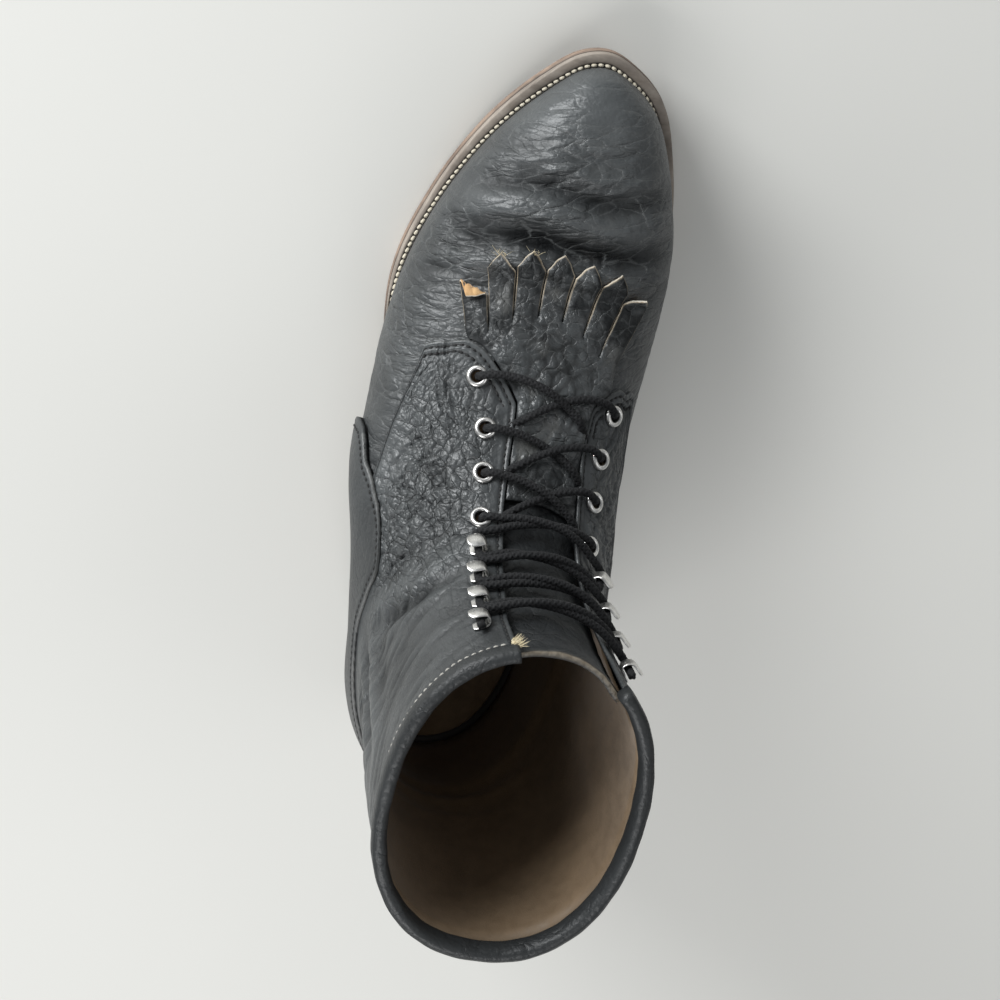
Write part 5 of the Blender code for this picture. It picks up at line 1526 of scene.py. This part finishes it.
def hooked_strand(side):
    """A lace from the last eyelet through a hook of each row above it, changing sides."""
    here, rise = eyelet_start(EYELET_ROWS - 1, side)
    path = [rise]
    for row in range(EYELET_ROWS, len(LACING["t"])):
        over = (row % 2 == 0) == (side > 0)
        side = -side
        end = local_move(*seat_place(row, side), -side * HOOK_LEAD, -HOOK_CLEAR)
        u = np.linspace(0, 1, 8)[:-1] if row == EYELET_ROWS else np.linspace(0, 1, 8)[1:-1]
        s, t = (here[k] + (end[k] - here[k]) * u for k in (0, 1))
        cross = LACE_ON_FACING - LACE_DIP + (LACE_OVER if over else 0.0)
        lift = smooth(np.array([0, 0.5, 1]), np.array([LACE_ON_FACING, cross, LACE_ON_FACING]), u)
        path.append(on_upper(s, t, lift))
        at, across, up, normal = seat(row, side)
        centre = at + HOOK_CHANNEL[0] * across + HOOK_CHANNEL[1] * normal
        path.append(centre + np.array([[-1], [0], [1]]) * HOOK_CLEAR * up)
        here = local_move(*seat_place(row, side), -side * HOOK_LEAD, HOOK_CLEAR)
    return np.concatenate(path)


BRAID_SIDES = 20
BRAID_STEP = 0.3
BRAID_PITCH = 4.4
BRAID_STRANDS = 4
BRAID_DEPTH = 0.2


def braid(path):
    """Round braided cord along a path: two families of strands cross round it."""
    path = rounded(path, 10)
    run = run_of(path)
    want = np.linspace(0, run[-1], max(8, int(run[-1] / BRAID_STEP)))
    path = at_run(path, run, want)
    way = np.gradient(path, axis=0)
    way = unit(way)
    side = np.cross(way[0], [0.31, 0.47, 0.83])
    frames = []
    for w in way:
        side = side - w * (side @ w)
        side = side / np.linalg.norm(side)
        frames.append(side)
    frames = np.array(frames)
    other = np.cross(way, frames)
    turn = np.linspace(0, 2 * np.pi, BRAID_SIDES, endpoint=False)[None]
    phase = 2 * np.pi * want[:, None] / BRAID_PITCH
    weave = np.maximum(np.sin(BRAID_STRANDS * turn + phase * BRAID_STRANDS / 2),
                       np.sin(BRAID_STRANDS * turn - phase * BRAID_STRANDS / 2))
    r = (LACE_RADIUS * (1 - BRAID_DEPTH * (1 - weave)))[..., None]
    spoke = np.cos(turn)[..., None] * frames[:, None] + np.sin(turn)[..., None] * other[:, None]
    verts = path[:, None] + r * spoke
    n, k = verts.shape[:2]
    return verts.reshape(-1, 3), tube(n, k) + end_caps(n, k)


def make_laces():
    strands = []
    for row in range(EYELET_ROWS - 1):
        strands += [eyelet_strand(row, 1, row % 2 == 0), eyelet_strand(row, -1, row % 2 == 1)]
    strands += [hooked_strand(1), hooked_strand(-1)]
    piece("laces", *join([braid(p) for p in strands]), [LACE], "lace_cord",
          ["lace_cross_1", "lace_cross_2", "lace_cross_3", "lace_hooked"])


# Sole

def loop_solid(loop, section, cap_spacing=5.0):
    """Closed solid from a clockwise plan loop: section rows of inset and height give its side."""
    rings, flats = [], []
    for inset, height in section:
        plan = inset_loop(loop, np.full(len(loop), inset))
        flats.append(plan)
        rings.append(np.column_stack([plan, height(plan[:, 0])]))
    n = len(loop)
    verts, faces = list(rings), tube(len(section), n)
    at = n * len(section)
    for which, start in ((0, 0), (len(section) - 1, n * (len(section) - 1))):
        plan = flats[which]
        spots = lattice([plan], cap_spacing)
        spots = spots[nearest(spots, [plan]) > 0.45 * cap_spacing]
        flat, tris = fill([plan], [], spots)
        ring = {(round(a, 3), round(b, 3)): start + i for i, (a, b) in enumerate(plan)}
        index = []
        extra = []
        for a, b in flat:
            found = ring.get((round(a, 3), round(b, 3)))
            if found is None:
                found = at + len(extra)
                extra.append((a, b))
            index.append(found)
        extra = np.array(extra).reshape(-1, 2)
        verts.append(np.column_stack([extra, section[which][1](extra[:, 0])]))
        at += len(extra)
        for f in tris:
            f = tuple(index[i] for i in f)
            faces.append(f if which == 0 else f[::-1])
    return np.concatenate(verts), faces


def even_loop(loop, count):
    """A closed outline resampled to even steps."""
    closed_loop = np.concatenate([loop, loop[:1]])
    run = run_of(closed_loop)
    want = np.linspace(0, run[-1], count, endpoint=False)
    return at_run(closed_loop, run, want)


EDGE_POINTS = 420


def above_sole(height):
    return lambda x: sole_bottom(x) + height


def make_outsole():
    loop = even_loop(SOLE_LOOP, EDGE_POINTS)
    t = OUTSOLE_THICK
    sides = ((0.9, t), (0.35, t - 0.1), (0.1, t - 0.5), (0.0, t - 1.6), (0.0, 1.7), (0.15, 0.8), (0.5, 0.2),
             (1.1, 0.0))
    verts, faces = loop_solid(loop, [(inset, above_sole(height)) for inset, height in sides])
    tone = verts[:, 2] - sole_bottom(verts[:, 0])
    piece("outsole_edge", verts, faces, [OUTSOLE], "sole_leather", ["outsole"],
          {"dye_and_painted_shading": 0.75 * ease(t - 0.8, t - 0.1, tone)})


STITCH_BACK = 1.7
GROOVE = {"half": 0.75, "deep": 0.55}


def make_welt():
    loop = even_loop(SOLE_LOOP, EDGE_POINTS)
    inset = smooth(FEATHER["along"], FEATHER["inset"], loop[:, 0])
    row = np.maximum(inset - STITCH_BACK, 1.2)
    base, top = OUTSOLE_THICK + GAP, OUTSOLE_THICK + GAP + WELT_THICK
    cut, deep = GROOVE["half"], GROOVE["deep"]
    back = inset + WALL + 1.4
    lines = ((1.0, base), (0.45, base + 0.1), (0.25, base + 0.5), (0.25, top - 0.9), (0.42, top - 0.35),
             (0.9, top - 0.05), (row - 2 * cut, top), (row - cut, top - 0.1), (row - 0.35 * cut, top - deep),
             (row + 0.35 * cut, top - deep), (row + cut, top - 0.1), (inset + 0.6, top), (back, top),
             (back, base))
    rings = []
    for d, height in lines:
        plan = inset_loop(loop, np.broadcast_to(np.minimum(d, back), len(loop)))
        rings.append(np.column_stack([plan, sole_bottom(plan[:, 0]) + height]))
    n, k = len(loop), len(lines)
    faces = [(((j + 1) % k) * n + i, ((j + 1) % k) * n + (i + 1) % n, j * n + (i + 1) % n, j * n + i)
             for j in range(k) for i in range(n)]
    verts = np.concatenate(rings)
    dye_and_painted_shading = np.zeros((k, n))
    dye_and_painted_shading[7:] = 0.9
    piece("welt_band", verts, faces, [WELT], "welt_leather", ["welt"], {"dye_and_painted_shading": dye_and_painted_shading.ravel()})
    return row, top


def capsules(points, way, normal, length, radius, squash=0.75):
    """Short rounded stitches as one mesh."""
    ring = np.linspace(0, 2 * np.pi, 6, endpoint=False)
    along = np.array([-0.5, -0.36, 0.0, 0.36, 0.5])
    wide = np.array([0.25, 0.85, 1.0, 0.85, 0.25])
    sink = np.array([-0.75, -0.1, 0.15, -0.1, -0.75])
    way = unit(way)
    side = unit(np.cross(way, normal))
    up = np.cross(side, way)
    across = np.cos(ring)[None, :] * wide[:, None] * radius
    high = (np.sin(ring)[None, :] * wide[:, None] * squash + sink[:, None]) * radius
    verts = (points[:, None, None] + way[:, None, None] * (along * length)[None, :, None, None]
             + side[:, None, None] * across[None, :, :, None] + up[:, None, None] * high[None, :, :, None])
    faces = []
    rings, around = len(along), len(ring)
    for m in range(len(points)):
        at = m * rings * around
        faces += tube(rings, around, at) + end_caps(rings, around, at)
    return verts.reshape(-1, 3), faces


PACE_LOOK = 0.1


def paced(path, pitch):
    """Places and directions at even steps along a path in space."""
    run = run_of(path)
    want = np.arange(pitch / 2, run[-1], pitch)
    way = at_run(path, run, want + PACE_LOOK) - at_run(path, run, want - PACE_LOOK)
    return at_run(path, run, want), way


WELT_PITCH = 2.7
WELT_STITCH = {"length": 2.4, "radius": 0.74}
STITCH_FROM = 80.0


def make_welt_stitches(row, top):
    loop = even_loop(SOLE_LOOP, EDGE_POINTS)
    plan = inset_loop(loop, row)
    path = np.column_stack([plan, sole_bottom(plan[:, 0]) + top - 0.12])
    heel = np.argmin(path[:, 0])
    path = np.roll(path, -heel, 0)
    keep = np.where(path[:, 0] > STITCH_FROM)[0]
    at, way = paced(path[keep[0]:keep[-1] + 1], WELT_PITCH)
    tilt = unit(np.stack([way[:, 1], -way[:, 0], np.zeros(len(way))], 1))
    up = np.tile([0.0, 0.0, 1.0], (len(at), 1))
    verts, faces = capsules(at, unit(way) + 0.2 * tilt, up, **WELT_STITCH)
    piece("welt_stitches", verts, faces, [CREAM], "welt_leather")


def heel_loop(inset, points=130):
    """Clockwise D of the heel at an inset from the sole's edge, with a straight breast."""
    loop = inset_loop(SOLE_LOOP, np.full(len(SOLE_LOOP), inset))
    outer, inner = split_sides(loop)
    front = HEEL_LENGTH - inset
    corner = [[front, np.interp(front, side[:, 0], side[:, 1])] for side in (inner, outer)]
    behind = inner[inner[:, 0] < front][::-1], outer[outer[:, 0] < front][1:]
    curve = np.concatenate([corner[:1], *behind, corner[1:]])
    run = run_of(curve)
    want = np.linspace(0, run[-1], points)
    curve = at_run(curve, run, want)
    breast = np.linspace(corner[1], corner[0], 24)[1:-1]
    return np.concatenate([curve, breast])


HEEL_LAYERS = 5


def make_heel():
    low = LIFT_THICK + GAP
    top = SOLE_PROFILE["bottom"][0]

    section = []
    for layer in range(HEEL_LAYERS):
        a, b = 1 - layer / HEEL_LAYERS, 1 - (layer + 1) / HEEL_LAYERS
        section += [(a - 0.004, 0.22), (a - 0.02, 0.04), (b + 0.02, 0.04), (b + 0.004, 0.22)]
    lift_rings = [(0.99, 0.35), (0.93, 0.05), (0.14, 0.05), (0.04, 0.25), (0.0, 0.7)]
    for name, rings, heights, material, slot, node in (
            ("heel_layers", section, "stack", HEEL, "heel_leather", "heel_stack"),
            ("heel_top_piece", lift_rings, "lift", RUBBER, "heel_rubber", "heel_lift")):
        base = heel_loop(HEEL_INSET)
        n = len(base)
        verts = []
        for f, extra in rings:
            height = low + f * (top - low) if heights == "stack" else f * LIFT_THICK
            loop = heel_loop(HEEL_INSET + HEEL_TAPER * (1 - height / top) + extra)
            if heights == "stack":
                z = low + f * (sole_bottom(loop[:, 0]) - GAP - low)
            else:
                z = np.full(len(loop), height)
            verts.append(np.column_stack([loop, z]))
        k = len(rings)
        faces = tube(k, n) + end_caps(k, n)
        verts = np.concatenate(verts)
        dye_and_painted_shading = {"dye_and_painted_shading": 0.5 * np.ones(len(verts))} if material is HEEL else None
        made = piece(name, verts, faces, [material], slot, [node], dye_and_painted_shading)
        made.data.polygons.foreach_set("use_smooth", [len(p.vertices) == 4 for p in made.data.polygons])


def make_insole():
    inset = smooth(FEATHER["along"], FEATHER["inset"], SOLE_LOOP[:, 0]) + WALL + INSOLE_CLEAR
    loop = even_loop(inset_loop(SOLE_LOOP, inset), 220)
    base = OUTSOLE_THICK + GAP
    top = base + INSOLE_THICK
    sides = ((1.2, top), (0.4, top - 0.2), (0.0, top - 0.9), (0.0, base + 0.2))
    verts, faces = loop_solid(loop, [(inset, above_sole(height)) for inset, height in sides])
    piece("sock_lining", verts, faces, [INSOLE], "lining_leather", ["insole"])


# Stitching on the upper

STITCH = {"length": 2.1, "radius": 0.58}
SEAM_END = 0.40
STITCH_PITCH = 2.7


def seam_relief(st):
    return quarter_relief(st, 0.5 * sum(SEAM_ROWS))[0]


def stitch_line(line_st, lift, relief):
    """A row of stitches lying on the leather along a line of the chart."""
    uv = to_flat(np.asarray(line_st, float))
    run = run_of(uv)
    want = np.arange(0, run[-1], 0.7)
    st = from_flat(at_run(uv, run, want))
    path = placed(st, lift + relief(st))
    at, way = paced(path, STITCH_PITCH)
    middle = np.array([np.argmin(np.linalg.norm(path - a, axis=1)) for a in at])
    return capsules(at, way, normal_at(st[middle, 0], st[middle, 1]), **STITCH)


def make_threads():
    on_seam = STEP + 0.14 - SEAM_DEEP
    black, grey = [], []
    for side in (1, -1):
        front = quarter_front(side)
        reach = front[:len(front) - np.argmax(front[::-1, 1] > SEAM_END)]
        for inset in SEAM_ROWS:
            row = offset_line(reach, inset * side)
            far = nearest(to_flat(row), [chain(to_flat(front), 0.3, False)])
            black.append(stitch_line(row[far > 0.9 * inset], on_seam, seam_relief))
        t = np.linspace(QUARTER_EDGE["t"][0] + 0.02, UPPER_TOP - 0.012, 60)
        ring = np.interp(t, np.linspace(0, 1, len(HALF_RING)), HALF_RING)
        line = np.stack([facing_edge(side, t) + side * SEAM_ROWS[0] / ring, t], 1)
        black.append(stitch_line(line, on_seam, seam_relief))
    edge = counter_outline()
    edge = edge[edge[:, 1] > 0.07]
    whole = np.concatenate([edge, edge[-2::-1] * [-1, 1] + [2, 0]])
    row = offset_line(whole, -COUNTER_ROW)
    on_counter = STEP + GAP + COUNTER_THICK - 0.2
    black.append(stitch_line(row, on_counter, lambda st: shaft_form(placed(st))))
    s = np.linspace(facing_edge(1, UPPER_TOP) + 0.02, 2 + facing_edge(-1, UPPER_TOP) - 0.02, 300)
    rim = level_rows(s, UPPER_TOP - 0.006)
    grey.append(stitch_line(rim, STEP, seam_relief))
    piece("upper_threads", *join(black), [THREAD], "black_leather")
    piece("collar_threads", *join(grey), [GREY_THREAD], "black_leather")


FIBRE_STEPS = np.linspace(0, 1, 5)
FIBRE_CORNERS = np.linspace(0, 2 * np.pi, 3, endpoint=False)


def tuft(root, ways, count, size, length, radius, seed):
    """Thin tapering fibres from about one place; ways are its main, sideways and upward directions."""
    main, beside, up = ways
    parts = []
    for i in range(count):
        r = [2 * float(chance(i, m, seed, 7.0)) - 1 for m in range(7)]
        at = root + size[0] * r[0] * beside + size[1] * r[1] * main
        way = main * (0.7 + 0.3 * r[2]) + 0.8 * r[3] * beside + (0.35 + 0.35 * r[4]) * up
        bend = r[5] * beside + 0.6 * r[6] * up
        u = FIBRE_STEPS[:, None]
        line = at + length * (0.7 + 0.3 * r[2]) * (u * way + 0.6 * u * u * bend)
        one = np.cross(way, up + 0.3 * beside)
        one /= np.linalg.norm(one)
        two = np.cross(way, one) / np.linalg.norm(way)
        spoke = np.cos(FIBRE_CORNERS)[:, None] * one + np.sin(FIBRE_CORNERS)[:, None] * two
        verts = line[:, None] + radius * (1 - 0.75 * u)[..., None] * spoke
        rings, around = verts.shape[:2]
        parts.append((verts.reshape(-1, 3), tube(rings, around) + end_caps(rings, around)))
    return parts


FRAYED_TABS = ((5, 16, 0.11), (4, 12, 0.10))


def make_fibres():
    """Frayed ends at the top of the outer facing and on two of the fringe's tips."""
    s, t = facing_edge(1, UPPER_TOP) + 0.004, UPPER_TOP - 0.002
    normal = normal_at(s, t)
    across = on_upper(s + 0.004, t) - on_upper(s - 0.004, t)
    across /= np.linalg.norm(across)
    ways = (-across, np.cross(normal, across), normal)
    parts = tuft(on_upper(s, t, STEP + 0.6), ways, 90, (2.6, 1.6), 3.4, 0.17, 3)
    for tab, count, radius in FRAYED_TABS:
        angle, tip = KILTIE_TABS["angle"][tab], KILTIE_TABS["tip"][tab]
        inner, *ends = (
            curl(fan(np.array([angle + turn]), np.array([tip - back])), np.array([1.2]))[0]
            for turn, back in ((0.0, 2.0), (-0.4, 0.6), (0.4, 0.6)))
        root = 0.5 * (ends[0] + ends[1])
        main, beside = root - inner, ends[1] - ends[0]
        main, beside = main / np.linalg.norm(main), beside / np.linalg.norm(beside)
        ways = main, beside, np.cross(beside, main) * -1
        parts += tuft(root, ways, count, (2.0, 0.8), 3.2, radius, 9 + tab)
    piece("loose_fibres", *join(parts), [FIBRE], "black_leather")


# Studio

def light(name, offset, size, power, colour=(1.0, 1.0, 1.0)):
    """Soft panel placed from the boot's middle by the picture's right, up and towards the camera."""
    right, up, back = camera_axes()
    data = bpy.data.lights.new(name, "AREA")
    data.shape = "RECTANGLE"
    data.size, data.size_y = size
    data.energy = power
    data.color = colour
    made = bpy.data.objects.new(name, data)
    bpy.context.scene.collection.objects.link(made)
    at = Vector(metres(AIM)) + Vector(right * offset[0] + up * offset[1] + back * offset[2])
    at.z = max(at.z, 0.25)
    made.location = at
    made.rotation_euler = (Vector(metres(AIM)) - at).to_track_quat("-Z", "Y").to_euler()


def make_studio():
    size = 6.0
    mesh = bpy.data.meshes.new("floor")
    corners = [(-size, -size, 0), (size, -size, 0), (size, size, 0), (-size, size, 0)]
    mesh.from_pydata(corners, [], [(0, 1, 2, 3)])
    floor = bpy.data.objects.new("floor", mesh)
    bpy.context.scene.collection.objects.link(floor)
    m = Nodes("pale_floor")
    m.link("Base Color", m.mix(m.noise(3.0, 3.0), rgb(0.61, 0.605, 0.575), rgb(0.65, 0.645, 0.615)))
    m.set(Roughness=0.65)
    mesh.materials.append(m.material)
    world = bpy.data.worlds.new("studio")
    world.use_nodes = True
    sky = world.node_tree.nodes["Background"]
    sky.inputs["Color"].default_value = rgb(0.93, 0.97, 1.0)
    sky.inputs["Strength"].default_value = 0.27
    bpy.context.scene.world = world
    light("key", (-0.75, 0.75, 0.80), (0.7, 0.7), 25.0, (0.97, 0.99, 1.0))
    light("fill", (0.9, -0.5, 0.7), (0.8, 1.0), 2.0)
    light("rear", (-0.4, -1.2, 0.6), (1.2, 0.5), 14.0)


bpy.context.scene.view_settings.view_transform = "Standard"
make_vamp()
make_quarter("quarter_outer", 1)
make_quarter("quarter_inner", -1)
make_counter()
make_lining()
make_binding()
make_tongue()
make_kiltie()
make_eyelets()
make_hooks()
make_laces()
make_outsole()
make_welt_stitches(*make_welt())
make_heel()
make_insole()
make_threads()
make_fibres()
make_studio()
